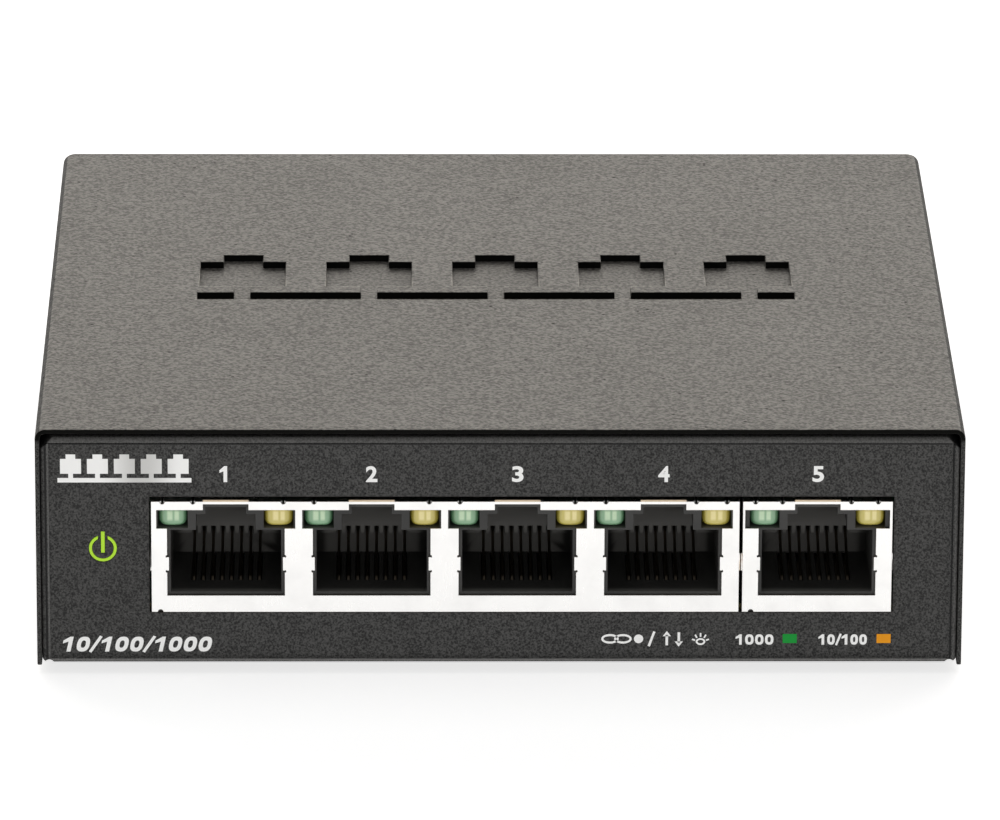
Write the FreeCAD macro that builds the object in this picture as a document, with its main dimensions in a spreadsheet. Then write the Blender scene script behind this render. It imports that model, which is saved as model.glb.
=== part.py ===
"""Five-port desktop network switch, built as its separate pieces.

Its frame: +X to the right of the front panel, +Y to the back, +Z up. The origin is the middle of the
footprint, on the surface that the rubber feet stand on. All sizes are millimetres.
"""

import FreeCAD, Part
import os
import re
import Sketcher

Vector = FreeCAD.Vector
doc = FreeCAD.newDocument("desktop_switch")

# ---------------------------------------------------------------- driving dimensions
SIZES = {
    # case
    "case_width": 100.0,
    "case_depth": 98.0,
    "case_height": 28.0,
    "skirt_height": 1.0,  # lower edge of the cover's sides
    "floor_height": 1.2,  # underside of the base
    "cover_sheet": 0.5,
    "cover_bend": 1.1,
    "cover_corner": 1.5,  # rear corners, seen from above
    "base_sheet": 0.8,
    "base_bend": 0.7,
    "side_gap": 0.05,  # base to the inside of the cover
    "top_gap": 0.4,
    "lip_depth": 6.0,  # top lips of the front and back walls
    "flange_depth": 9.0,  # side flanges of the front and back walls
    "back_notch": 0.8,  # the cover's sides stop this far short of its top
    "relief": 0.42,  # radius of the bend reliefs in the lower corners
    "relief_across": 48.7,
    "corner_bevel": 1.35,
    # front panel
    "field_half": 48.75,
    "field_low": 1.8,
    "field_top": 26.4,
    "field_depth": 0.3,
    "window_left": -37.8,
    "window_right": 42.48,
    "window_low": 7.0,
    "window_top": 20.25,
    "icon_across": -42.8,
    "icon_height": 14.33,
    "icon_ring": 1.5,
    "icon_line": 0.32,
    # pressed emblem on the cover
    "emblem_depth": 0.75,
    "emblem_half": 33.4,
    "emblem_low": -5.1,
    "emblem_pitch": 14.2,
    "bar_width": 2.4,
    "stem_width": 1.8,
    "stem_length": 2.2,
    "sign_width": 9.6,
    "sign_height": 8.6,
    "latch_width": 4.4,
    "latch_height": 2.4,
    # side vents
    "vent_width": 1.6,
    "vent_length": 12.0,
    "vent_pitch": 4.4,
    "vent_count": 11.0,
    "vent_low": 8.5,
    # circuit board
    "board_half": 47.6,
    "board_front": -46.2,
    "board_back": 45.6,
    "board_under": 5.5,
    "board_top": 7.1,
    "tail_reach": 0.9,  # solder tails under the board
    # network jacks
    "jack_front": -48.85,
    "jack_depth": 16.0,
    "jack_height": 12.65,
    "shell_sheet": 0.25,
    "jack_play": 0.05,
    "block_left": -37.57,
    "block_right": 25.8,
    "single_left": 26.18,
    "single_right": 42.3,
    "port_first": -29.54,
    "port_pitch": 15.715,
    "port_single": 34.22,
    "mouth_half": 6.34,
    "mouth_low": 8.98,
    "mouth_top": 16.68,
    "row_half_block": 7.48,
    "row_half_single": 7.8,
    "row_top": 18.78,
    "notch_half": 2.45,
    "cavity_half": 5.95,
    "cavity_low": 9.35,
    "cavity_top": 16.4,
    "cavity_depth": 12.8,
    "step_half": 3.2,
    "step_top": 18.2,
    "keyway_half": 2.15,
    "keyway_top": 19.0,
    "comb_front": 11.5,
    "comb_low": 11.95,
    "groove_width": 0.52,
    "contact_pitch": 1.02,
    "contact_wire": 0.32,
    "contact_strip": 0.2,
    "led_radius": 1.3,
    "led_across": 5.7,
    "led_height": 17.98,
    "light_half": 1.6,  # the pocket round a light
    "finger_low": 11.85,  # spring fingers at the sides of a mouth
    "finger_high": 13.4,
    "finger_reach": 0.2,
    "led_setback": 0.3,
    "led_length": 6.5,
    "led_lead": 0.4,
    # back panel
    "dc_across": 33.0,
    "dc_height": 13.6,
    "dc_body": 4.5,
    "dc_front": 34.0,
    "dc_collar": 3.9,
    "dc_bore": 3.05,
    "dc_pin": 1.0,
    "reset_across": 14.0,
    "reset_height": 10.6,
    "reset_hole": 1.2,
    "reset_body": 3.0,
    "reset_back": 44.4,
    "lock_across": -38.0,
    "lock_height": 14.0,
    "lock_half": 3.5,
    "lock_slot": 1.5,
    # fasteners and feet
    "screw_shank": 1.45,
    "nut_bore": 1.5,
    "cover_screw_height": 14.5,
    "cover_screw_reach": 43.3,
    "foot_radius": 4.5,
    "foot_across": 36.5,
    "foot_reach": 38.0,
    "keyhole_across": 25.0,
    "keyhole_slot": 1.9,
    "keyhole_entry": 3.6,
    "keyhole_travel": 8.0,
}

PORTS = range(5)
SIDES = (-1, 1)
PLACES = range(8)
STANDOFFS = ((-43.2, -36.0), (44.6, -26.0), (-43.2, 40.0), (44.6, 40.0))
SWITCH_AT = (-3.0, 4.0)
FLASH_AT = (-26.0, 10.0)
BUCK_AT = (24.0, 16.0)
COIL_AT = (34.0, 17.0)
CRYSTAL_AT = (-27.0, -3.0)
MAGNETICS_Y = -24.5

sheet = doc.addObject("Spreadsheet::Sheet", "dims")
for row, (alias, value) in enumerate(SIZES.items(), start=1):
    sheet.set(f"A{row}", alias)
    sheet.set(f"B{row}", str(value))
    sheet.setAlias(f"B{row}", alias)
doc.recompute()
exported = []


def size(alias):
    """The sheet's value of one dimension."""
    return float(sheet.get(alias))


def bind(thing, name, formula):
    """Binds a property to a formula that is written with the sheet's aliases."""
    expression = re.sub(r"[a-z][a-z_]+", lambda word: "dims." + word.group(), str(formula))
    thing.setExpression(name, expression)


def span(middle, half):
    """The low and high formula of a stretch about a middle."""
    return f"({middle}) - ({half})", f"({middle}) + ({half})"


def export(thing, label):
    """Names a finished sub-part and marks it for export."""
    thing.Label = label
    exported.append(thing)


# ---------------------------------------------------------------- primitives and booleans
TURNS = {
    "x": FreeCAD.Rotation(Vector(0, 1, 0), 90),
    "y": FreeCAD.Rotation(Vector(1, 0, 0), -90),
    "z": FreeCAD.Rotation(),
}


def box(name, x, y, z):
    """A block between two formulas on each axis."""
    solid = doc.addObject("Part::Box", name)
    for side, axis, (low, high) in zip(("Length", "Width", "Height"), "xyz", (x, y, z)):
        bind(solid, side, f"({high}) - ({low})")
        bind(solid, f"Placement.Base.{axis}", low)
    return solid


def place_along(solid, axis, start, at):
    """Turns a solid's own Z onto an axis. at holds its middle's other two coordinates."""
    solid.Placement = FreeCAD.Placement(Vector(), TURNS[axis])
    bind(solid, f"Placement.Base.{axis}", start)
    for other, formula in zip([name for name in "xyz" if name != axis], at):
        bind(solid, f"Placement.Base.{other}", formula)
    return solid


def cylinder(name, radius, axis, start, end, at):
    solid = doc.addObject("Part::Cylinder", name)
    bind(solid, "Radius", radius)
    bind(solid, "Height", f"({end}) - ({start})")
    return place_along(solid, axis, start, at)


def cone(name, radii, axis, start, end, at):
    solid = doc.addObject("Part::Cone", name)
    bind(solid, "Radius1", radii[0])
    bind(solid, "Radius2", radii[1])
    bind(solid, "Height", f"({end}) - ({start})")
    return place_along(solid, axis, start, at)


def group(name, parts):
    """Separate solids kept as one sub-part."""
    made = doc.addObject("Part::Compound", name)
    made.Links = parts
    return made


def fuse(name, parts):
    made = doc.addObject("Part::MultiFuse", name)
    made.Shapes = parts
    return made


def cut(name, base, tools):
    made = doc.addObject("Part::Cut", name)
    made.Base = base
    made.Tool = tools[0] if len(tools) == 1 else group(name + "_tools", tools)
    return made


def cross_recess(name, axis, start, end, at, reach, half_width):
    """The two crossed slots of a screw's drive. at holds the two coordinates across the axis."""
    slots = []
    for first, second in ((reach, half_width), (half_width, reach)):
        across = [span(at[0], first), span(at[1], second)]
        across.insert("xyz".index(axis), (start, end))
        slots.append(box(name, *across))
    return slots


# ---------------------------------------------------------------- sketched bodies
def origin_feature(body, role):
    return next(feature for feature in body.Origin.OriginFeatures if feature.Role == role)


def new_sketch(body, name, plane, offset):
    """A sketch on an origin plane, moved along its normal: XY faces up, YZ the right and XZ the front."""
    made = body.newObject("Sketcher::SketchObject", name)
    made.AttachmentSupport = [(origin_feature(body, plane + "_Plane"), "")]
    made.MapMode = "FlatFace"
    bind(made, "AttachmentOffset.Base.z", offset)
    return made


def rectangles(body, name, plane, offset, areas):
    """A sketch of rectangles. Each area is a low and high formula for both of the sketch's axes."""
    made = new_sketch(body, name, plane, offset)
    for across, up in areas:
        first = made.GeometryCount
        corners = [Vector(0, 0), Vector(1, 0), Vector(1, 1), Vector(0, 1)]
        for side in range(4):
            made.addGeometry(Part.LineSegment(corners[side], corners[(side + 1) % 4]), False)
        for side in range(4):
            made.addConstraint(Sketcher.Constraint("Coincident", first + side, 2, first + (side + 1) % 4, 1))
            made.addConstraint(Sketcher.Constraint("Vertical" if side % 2 else "Horizontal", first + side))
        for kind, formulas in (("DistanceX", across), ("DistanceY", up)):
            for side, formula in zip((0, 1 if kind == "DistanceX" else 2), formulas):
                index = made.addConstraint(Sketcher.Constraint(kind, first + side, 1, 1.0))
                bind(made, f"Constraints[{index}]", formula)
    return made


def extrude(body, kind, name, profile, length, reverse=False, taper=0.0):
    made = body.newObject("PartDesign::" + kind, name)
    made.Profile = profile
    made.Reversed = reverse
    made.TaperAngle = taper
    bind(made, "Length", length)
    doc.recompute()
    return made


def pad(body, name, profile, length, reverse=False):
    return extrude(body, "Pad", name, profile, length, reverse)


def pocket(body, name, profile, length, taper=0.0):
    """Cuts against the sketch's normal, and makes sure that it cuts something."""
    before = body.Tip.Shape.Volume
    made = extrude(body, "Pocket", name, profile, length, taper=taper)
    if made.Shape.Volume > before - 1e-6:
        raise RuntimeError(f"{body.Label}: {name} cuts nothing")
    return made


def rounded(body, name, radius, chosen):
    """Rounds the edges that chosen(edge) picks from the body so far."""
    base = body.Tip
    edges = [f"Edge{i}" for i, edge in enumerate(base.Shape.Edges, start=1) if chosen(edge)]
    if not edges:
        raise RuntimeError(f"{body.Label}: {name} finds no edges")
    made = body.newObject("PartDesign::Fillet", name)
    made.Base = (base, edges)
    bind(made, "Radius", radius)
    doc.recompute()
    return made


def repeat(body, name, original, axis, spacing, count):
    made = body.newObject("PartDesign::LinearPattern", name)
    made.Originals = [original]
    made.Direction = (origin_feature(body, axis + "_Axis"), [""])
    made.Mode = "Spacing"
    made.Occurrences = count
    bind(made, "Offset", spacing)
    body.Tip = made
    doc.recompute()
    return made


def runs_along(edge, axis):
    """True for a straight edge parallel to an axis."""
    if edge.Degenerated or len(edge.Vertexes) < 2 or edge.Curve.TypeId != "Part::GeomLine":
        return False
    step = edge.Vertexes[-1].Point - edge.Vertexes[0].Point
    return all(abs(step["xyz".index(other)]) < 0.01 for other in "xyz" if other != axis)


def passes(edge, **places):
    """True if the middle of an edge is this far from the origin along each of the given axes."""
    middle = edge.CenterOfMass
    return all(abs(abs(middle["xyz".index(axis)]) - abs(value)) < 0.05 for axis, value in places.items())


# ---------------------------------------------------------------- bent strips of sheet or wire
def strip(points, thickness, width, axis="x"):
    """A flat strip bent along points: (y, z) for a strip as wide along X, (x, z) for one as wide along Y."""
    path = [Vector(first, second, 0) for first, second in points]
    left, right = [], []
    for i, point in enumerate(path):
        before = (point - path[i - 1]).normalize() if i else None
        after = (path[i + 1] - point).normalize() if i + 1 < len(path) else None
        heading = ((before or after) + (after or before)).normalize()
        across = Vector(-heading.y, heading.x, 0)
        lean = across.dot(Vector(-(before or after).y, (before or after).x, 0))
        reach = across * (thickness / 2 / lean)
        left.append(point + reach)
        right.append(point - reach)
    corners = left + right[::-1]
    if axis == "x":
        outline = [Vector(-width / 2, corner.x, corner.y) for corner in corners]
        sweep = Vector(width, 0, 0)
    else:
        outline = [Vector(corner.x, -width / 2, corner.y) for corner in corners]
        sweep = Vector(0, width, 0)
    return Part.Face(Part.makePolygon(outline + outline[:1])).extrude(sweep)


def moved(shape, x=0.0, y=0.0):
    made = shape.copy()
    made.translate(Vector(x, y, 0))
    return made


def stored(name, shapes):
    """A sub-part whose shape is worked out here from the sheet's values."""
    made = doc.addObject("Part::Feature", name)
    made.Shape = Part.makeCompound(shapes) if len(shapes) > 1 else shapes[0]
    return made


# ---------------------------------------------------------------- top cover
def emblem(grow):
    """Five socket signs on stems along one bar, the mark pressed into the cover, grown by a margin.

    They come as three lists of areas, because areas that touch can't share a sketch.
    """
    bar_top = f"emblem_low + bar_width + {grow}"
    sign_low = f"emblem_low + bar_width + stem_length - {grow}"
    sign_top = f"emblem_low + bar_width + stem_length + sign_height + {grow}"
    bar = [(span("0", f"emblem_half + {grow}"), (f"emblem_low - {grow}", bar_top))]
    stems, signs, latches = [], [], []
    for place in range(-2, 3):
        middle = f"({place}) * emblem_pitch"
        stems.append((span(middle, f"stem_width / 2 + {grow}"), (bar_top, sign_low)))
        signs.append((span(middle, f"sign_width / 2 + {grow}"), (sign_low, sign_top)))
        latches.append((span(middle, f"latch_width / 2 + {grow}"), (sign_top, f"{sign_top} + latch_height")))
    return bar + signs, stems, latches


def cover_screw_places():
    """Each cover screw's side, its Y and Z, and the order that makes its X stretch run upwards."""
    for side in SIDES:
        for end in SIDES:
            yield side, (f"({end}) * cover_screw_reach", "cover_screw_height")


def inward(side, depth):
    """The X of a depth below the outer face of the cover's left or right side."""
    return f"({side}) * (case_width / 2 - ({depth}))"


def side_cone(name, side, outer, inner, at):
    """A cone into a side of the case. outer and inner are a depth below its face and the radius there."""
    ends = [outer, inner] if side < 0 else [inner, outer]
    depths = [inward(side, depth) for depth, radius in ends]
    return cone(name, [radius for depth, radius in ends], "x", *depths, at)


def side_cylinder(name, side, radius, outer, inner, at):
    depths = [outer, inner] if side < 0 else [inner, outer]
    return cylinder(name, radius, "x", *[inward(side, depth) for depth in depths], at)


def top_cover():
    """U-shaped painted sheet: top and two sides in one piece, with vents and dimpled screw seats."""
    body = doc.addObject("PartDesign::Body", "cover_sheet_metal")
    half = size("case_width") / 2
    top = size("case_height")
    wall = size("cover_sheet")
    depth_span = span("0", "case_depth / 2")
    outside = rectangles(body, "outside", "XY", "skirt_height", [(span("0", "case_width / 2"), depth_span)])
    pad(body, "block", outside, "case_height - skirt_height")
    rounded(body, "back_corners", "cover_corner",
            lambda edge: runs_along(edge, "z") and edge.CenterOfMass.y > 0)
    rounded(body, "bends", "cover_bend", lambda edge: runs_along(edge, "y") and passes(edge, x=half, z=top))
    room = (span("0", "case_width / 2 - cover_sheet"), ("skirt_height - 1", "case_height - cover_sheet"))
    pocket(body, "hollow", rectangles(body, "inside", "XZ", "case_depth / 2 + 1", [room]), "case_depth + 2")
    rounded(body, "inner_bends", "cover_bend - cover_sheet",
            lambda edge: runs_along(edge, "y") and passes(edge, x=half - wall, z=top - wall))
    under_top = ("skirt_height - 1", "case_height - cover_bend - 0.2")
    ends = (("case_depth / 2 - back_notch", "case_depth / 2 + 1"), under_top)
    beyond = "case_width / 2 + 1"
    pocket(body, "short_sides", rectangles(body, "side_ends", "YZ", beyond, [ends]), f"2 * ({beyond})")
    for areas in emblem("0.35"):
        under = rectangles(body, "pressed", "XY", "case_height - cover_sheet - emblem_depth", areas)
        pad(body, "emblem_back", under, "emblem_depth + 0.1")
    for areas in emblem("0"):
        pocket(body, "emblem_front", rectangles(body, "sunk", "XY", "case_height", areas), "emblem_depth")
    first_vent = span("-vent_pitch * (vent_count - 1) / 2", "vent_width / 2")
    slot = rectangles(body, "slot", "YZ", beyond, [(first_vent, ("vent_low", "vent_low + vent_length"))])
    vent = pocket(body, "vent", slot, f"2 * ({beyond})")
    repeat(body, "vents", vent, "Y", "vent_pitch", int(size("vent_count")))
    vent_reach = size("vent_pitch") * size("vent_count") / 2
    rounded(body, "vent_ends", "vent_width / 2 - 0.05",
            lambda edge: runs_along(edge, "x") and passes(edge, x=half - wall / 2)
            and abs(edge.CenterOfMass.y) < vent_reach)
    dimples, seats = [], []
    for side, at in cover_screw_places():
        dimples.append(side_cone("dimple", side, ("cover_sheet", "2.95"), ("1.3", "2.15"), at))
        seats.append(side_cone("seat", side, ("0", "2.85"), ("1.3", "1.55"), at))
    export(cut("cover_cut", fuse("cover_dimpled", [body, *dimples]), seats), "top_cover")


# ---------------------------------------------------------------- base chassis
BASE_HALF = "(case_width / 2 - cover_sheet - side_gap)"
BASE_TOP = "(case_height - cover_sheet - top_gap)"
THROUGH_FRONT = ("-case_depth / 2 - 1", "-case_depth / 2 + 3")
THROUGH_BACK = ("case_depth / 2 - 3", "case_depth / 2 + 1")


def power_sign(name, slack, depth):
    """The power sign as solids: a ring that is open at its top, with a bar through the opening."""
    at = ("icon_across", "icon_height")
    disc = cylinder(name, f"icon_ring + {slack}", "y", *depth, at)
    hole = cylinder(name, f"icon_ring - icon_line - {slack}", "y", *depth, at)
    gap = box(name, span("icon_across", f"0.52 - {slack}"), depth, ("icon_height", "icon_height + 3"))
    stroke = (f"icon_height - 0.5 - {slack}", f"icon_height + 1.92 + {slack}")
    return [cut(name, disc, [hole, gap]), box(name, span("icon_across", f"0.2 + {slack}"), depth, stroke)]


def base_chassis():
    """Folded base sheet: floor, front and back walls, their top lips and their side flanges."""
    body = doc.addObject("PartDesign::Body", "base_sheet_metal")
    deep = size("case_depth") / 2
    wide = size("case_width") / 2 - size("cover_sheet") - size("side_gap")
    section = [(span("0", "case_depth / 2"), ("floor_height", BASE_TOP))]
    outline = rectangles(body, "outline", "YZ", BASE_HALF, section)
    pad(body, "block", outline, f"2 * {BASE_HALF}", reverse=True)
    rounded(body, "folds", "base_bend", lambda edge: runs_along(edge, "x"))
    height = ("floor_height + base_sheet", f"{BASE_TOP} - base_sheet")
    room = [(span("0", "case_depth / 2 - base_sheet"), height)]
    pocket(body, "hollow", rectangles(body, "inside", "YZ", f"{BASE_HALF} + 1", room), f"2 * {BASE_HALF} + 2")
    opening = [(span("0", f"{BASE_HALF} + 1"), span("0", "case_depth / 2 - lip_depth"))]
    pocket(body, "open_top", rectangles(body, "lips", "XY", f"{BASE_TOP} + 1", opening), "base_sheet + 1.5")
    stretches = (
        ("-case_depth / 2 + base_sheet - 0.2", "-case_depth / 2 + flange_depth"),
        ("case_depth / 2 - flange_depth", "case_depth / 2 - base_sheet + 0.2"),
    )
    plans = [
        (span(f"({side}) * ({BASE_HALF} - base_sheet / 2)", "base_sheet / 2"), stretch)
        for side in SIDES
        for stretch in stretches
    ]
    folded = rectangles(body, "flange_plan", "XY", "floor_height + 0.2", plans)
    pad(body, "flanges", folded, f"{BASE_TOP} - 0.3 - floor_height - 0.2")
    rounded(body, "flange_folds", "base_bend - 0.1",
            lambda edge: runs_along(edge, "z") and passes(edge, x=wide, y=deep))
    back_of_field = (span("0", "field_half - 0.6"), ("field_low + 0.6", "field_top - 0.6"))
    boss = rectangles(body, "field_back", "XZ", "case_depth / 2 - base_sheet", [back_of_field])
    pad(body, "field_boss", boss, "field_depth", reverse=True)
    field = [(span("0", "field_half"), ("field_low", "field_top"))]
    outline = rectangles(body, "field_outline", "XZ", "case_depth / 2", field)
    pocket(body, "field", outline, "field_depth", taper=-40)
    window = [(("window_left", "window_right"), ("window_low", "window_top"))]
    pocket(body, "jack_window", rectangles(body, "window", "XZ", "case_depth / 2 + 1", window), "4")
    slot = [(span("lock_across", "lock_half"), span("lock_height", "lock_slot"))]
    pocket(body, "lock", rectangles(body, "lock_outline", "XZ", "-case_depth / 2 + 3", slot), "4")
    lock_ends = [abs(size("lock_across")) + hand * size("lock_half") for hand in SIDES]
    middle_y = deep - size("base_sheet") / 2
    rounded(body, "lock_corners", "0.6",
            lambda edge: runs_along(edge, "y") and any(passes(edge, x=end, y=middle_y) for end in lock_ends))
    holes = [
        cylinder("inlet_hole", "dc_collar + 0.15", "y", *THROUGH_BACK, ("dc_across", "dc_height")),
        cylinder("reset_opening", "reset_hole", "y", *THROUGH_BACK, ("reset_across", "reset_height")),
        *power_sign("sign_opening", "0.03", THROUGH_FRONT),
    ]
    for side in SIDES:
        corner_x = f"({side}) * relief_across"
        for depth in (THROUGH_FRONT, THROUGH_BACK):
            holes.append(cylinder("bend_relief", "relief", "y", *depth, (corner_x, "floor_height")))
        bevel = doc.addObject("Part::Prism", "corner_bevel")
        bevel.Polygon = 4
        bind(bevel, "Circumradius", "corner_bevel")
        bind(bevel, "Height", "case_depth + 2")
        holes.append(place_along(bevel, "y", "-case_depth / 2 - 1", (f"({side}) * {BASE_HALF}", BASE_TOP)))
        middle = f"({side}) * keyhole_across"
        holes.append(box("keyhole_slot", span(middle, "keyhole_slot"), ("0", "keyhole_travel"), ("0", "3")))
        holes.append(cylinder("keyhole_end", "keyhole_slot", "z", "0", "3", (middle, "keyhole_travel")))
        holes.append(cylinder("keyhole_entry", "keyhole_entry", "z", "0", "3", (middle, "0")))
    for side, at in cover_screw_places():
        outer = "cover_sheet + side_gap"
        holes.append(side_cone("flange_seat", side, (outer, "3.05"), (f"{outer} + base_sheet", "2.25"), at))
    for at in STANDOFFS:
        holes.append(cylinder("rivet_hole", "2.05", "z", "0", "3", at))
    export(cut("base_cut", body, holes), "base_chassis")


# ---------------------------------------------------------------- fasteners, feet and label
def board_fasteners():
    """Riveted standoffs under the board, and their pan-head screws."""
    floor = "floor_height + base_sheet"
    standoffs, screws = [], []
    for at in STANDOFFS:
        post = cylinder("post", "2.7", "z", floor, "board_under", at)
        rivet = cylinder("rivet", "2.0", "z", "floor_height + 0.1", floor, at)
        thread = cylinder("thread", "nut_bore", "z", "0", "8", at)
        standoffs.append(cut("standoff", fuse("standoff_blank", [post, rivet]), [thread]))
        head = cylinder("head", "2.7", "z", "board_top", "board_top + 1.7", at)
        shank = cylinder("shank", "screw_shank", "z", "floor_height + 1", "board_top", at)
        recess = cross_recess("drive", "z", "board_top + 0.7", "board_top + 2", at, "1.5", "0.3")
        screws.append(cut("board_screw", fuse("board_screw_blank", [head, shank]), recess))
    export(group("standoffs", standoffs), "board_standoffs")
    export(group("pan_heads", screws), "board_screws")


def cover_fasteners():
    """The cover's countersunk screws, which end flush, and the clinch nuts inside the base's flanges."""
    screws, nuts = [], []
    nut_outer = "cover_sheet + side_gap + base_sheet"
    for side, at in cover_screw_places():
        head = side_cone("cover_head", side, ("0.05", "2.7"), ("1.3", "screw_shank"), at)
        shank = side_cylinder("cover_shank", side, "screw_shank", "1.3", "4.2", at)
        ends = [inward(side, "-1"), inward(side, "0.9")]
        start, end = ends if side < 0 else ends[::-1]
        recess = cross_recess("cover_drive", "x", start, end, at, "1.4", "0.28")
        screws.append(cut("cover_screw", fuse("cover_screw_blank", [head, shank]), recess))
        blank = side_cylinder("nut_blank", side, "3.4", nut_outer, "3.9", at)
        thread = side_cylinder("nut_thread", side, "nut_bore", "0", "10", at)
        nuts.append(cut("nut", blank, [thread]))
    export(group("countersunk", screws), "cover_screws")
    export(group("nuts", nuts), "clinch_nuts")


def feet():
    """Round stick-on rubber feet, with a small bevel round each sole."""
    for end, row_name in ((-1, "front"), (1, "rear")):
        for side, column in ((-1, "left"), (1, "right")):
            at = (f"({side}) * foot_across", f"({end}) * foot_reach")
            disc = cylinder("foot_disc", "foot_radius", "z", "0.3", "floor_height", at)
            sole = cone("foot_sole", ("foot_radius - 0.3", "foot_radius"), "z", "0", "0.3", at)
            export(fuse("foot", [disc, sole]), f"foot_{row_name}_{column}")


def rating_label():
    """A blank label under the floor."""
    label = box("label_film", span("0", "28"), ("-36", "-16"), ("floor_height - 0.1", "floor_height"))
    export(label, "rating_label")


# ---------------------------------------------------------------- circuit board
LEAD_Y = "jack_front + jack_depth - shell_sheet - 0.4"
LEG_Y = ("jack_front + 7", "jack_front + 8.6")
SHELL_SIDES = (("block_left", 1), ("block_right", -1), ("single_left", 1), ("single_right", -1))


def port_middle(number):
    """The formula of a port's middle, counted from zero at the left."""
    return "port_single" if number == 4 else f"(port_first + {number} * port_pitch)"


def port_place(number):
    """The value of the same."""
    return size("port_single") if number == 4 else size("port_first") + number * size("port_pitch")


def tail_depth(place):
    """How far behind the jack's front a contact's solder tail goes down. The rows are staggered."""
    return 13.6 + 1.1 * (place % 2)


def main_board():
    """The laminate with the holes for its screws, jacks and reset switch."""
    thickness = ("board_under", "board_top")
    blank = box("laminate", span("0", "board_half"), ("board_front", "board_back"), thickness)
    through = ("board_under - 1", "board_top + 1")
    holes = [cylinder("screw_hole", "1.6", "z", *through, at) for at in STANDOFFS]
    for number in PORTS:
        for place in PLACES:
            x = f"{port_middle(number)} + ({place - 3.5}) * contact_pitch"
            y = f"jack_front + {tail_depth(place)}"
            holes.append(cylinder("tail_hole", "0.3", "z", *through, (x, y)))
        for side in SIDES:
            for half in SIDES:
                at = (f"{port_middle(number)} + ({side}) * led_across + ({half}) * 0.6", LEAD_Y)
                holes.append(cylinder("lead_hole", "0.35", "z", *through, at))
    for edge, hand in SHELL_SIDES:
        across = span(f"{edge} + ({hand}) * shell_sheet / 2", "shell_sheet / 2 + 0.1")
        holes.append(box("leg_slot", across, (f"{LEG_Y[0]} - 0.1", f"{LEG_Y[1]} + 0.1"), through))
    for side in SIDES:
        across = span(f"reset_across + ({side}) * 3.3", "0.4")
        holes.append(box("switch_slot", across, ("reset_back - 2.2", "reset_back - 0.6"), through))
    export(cut("board_cut", blank, holes), "main_board")


# ---------------------------------------------------------------- network jacks
JACK_BACK = "(jack_front + jack_depth)"
JACK_TOP = "(board_top + jack_height)"


def jack_shell(name, left, right, numbers, row_half, fingers, finger_half):
    """The tinned shell: open below, with a mouth per port, slit earthing fingers and two solder legs."""
    face = ("jack_front - 1", "jack_front + shell_sheet + 0.02")
    room = (f"{left} + shell_sheet", f"{right} - shell_sheet")
    depth = ("jack_front + shell_sheet", f"{JACK_BACK} - shell_sheet")
    tools = [box("shell_room", room, depth, ("board_top - 1", f"{JACK_TOP} - shell_sheet"))]
    for number in numbers:
        middle = port_middle(number)
        tools.append(box("mouth", span(middle, "mouth_half"), face, ("mouth_low", "mouth_top")))
        tools.append(box("light_row", span(middle, row_half), face, ("mouth_top - 0.01", "row_top")))
        notch = ("row_top - 0.01", f"{JACK_TOP} - shell_sheet - 0.05")
        tools.append(box("latch_notch", span(middle, "notch_half"), face, notch))
        for side in SIDES:
            for end in ("finger_low - 0.08", "finger_high + 0.08"):
                at = (f"{middle} + ({side}) * (mouth_half + 0.02)", end)
                tools.append(cylinder("finger_root", "0.14", "y", *face, at))
    for finger in fingers:
        for side in SIDES:
            at = f"{finger} + ({side}) * {finger_half}"
            top_sheet = (f"{JACK_TOP} - 0.3", f"{JACK_TOP} + 1")
            tools.append(box("slit", span(at, "0.12"), ("jack_front - 1", "jack_front + 5.5"), top_sheet))
            tools.append(cylinder("slit_end", "0.28", "y", *face, (at, JACK_TOP)))
    tools.append(cylinder("low_nick", "0.3", "y", *face, (f"{left} + 0.95", "board_top")))
    extras = []
    for number in numbers:
        for side in SIDES:
            middle = f"{port_middle(number)} + ({side}) * (mouth_half - finger_reach / 2 + 0.02)"
            sheet = ("jack_front", "jack_front + shell_sheet")
            across = span(middle, "finger_reach / 2 + 0.02")
            extras.append(box("mouth_finger", across, sheet, ("finger_low", "finger_high")))
    for edge, hand in ((left, 1), (right, -1)):
        across = span(f"{edge} + ({hand}) * shell_sheet / 2", "shell_sheet / 2")
        extras.append(box("leg", across, LEG_Y, ("board_under - tail_reach", "board_top")))
        spring = span(f"{edge} - ({hand}) * 0.075", "0.075")
        extras.append(box("side_spring", spring, ("jack_front + 0.4", "jack_front + 4"), ("11.7", "13.7")))
    blank = box("shell_blank", (left, right), ("jack_front", JACK_BACK), ("board_top", JACK_TOP))
    export(fuse("shell_with_legs", [cut("shell_sheet_metal", blank, tools), *extras]), name)


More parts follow.
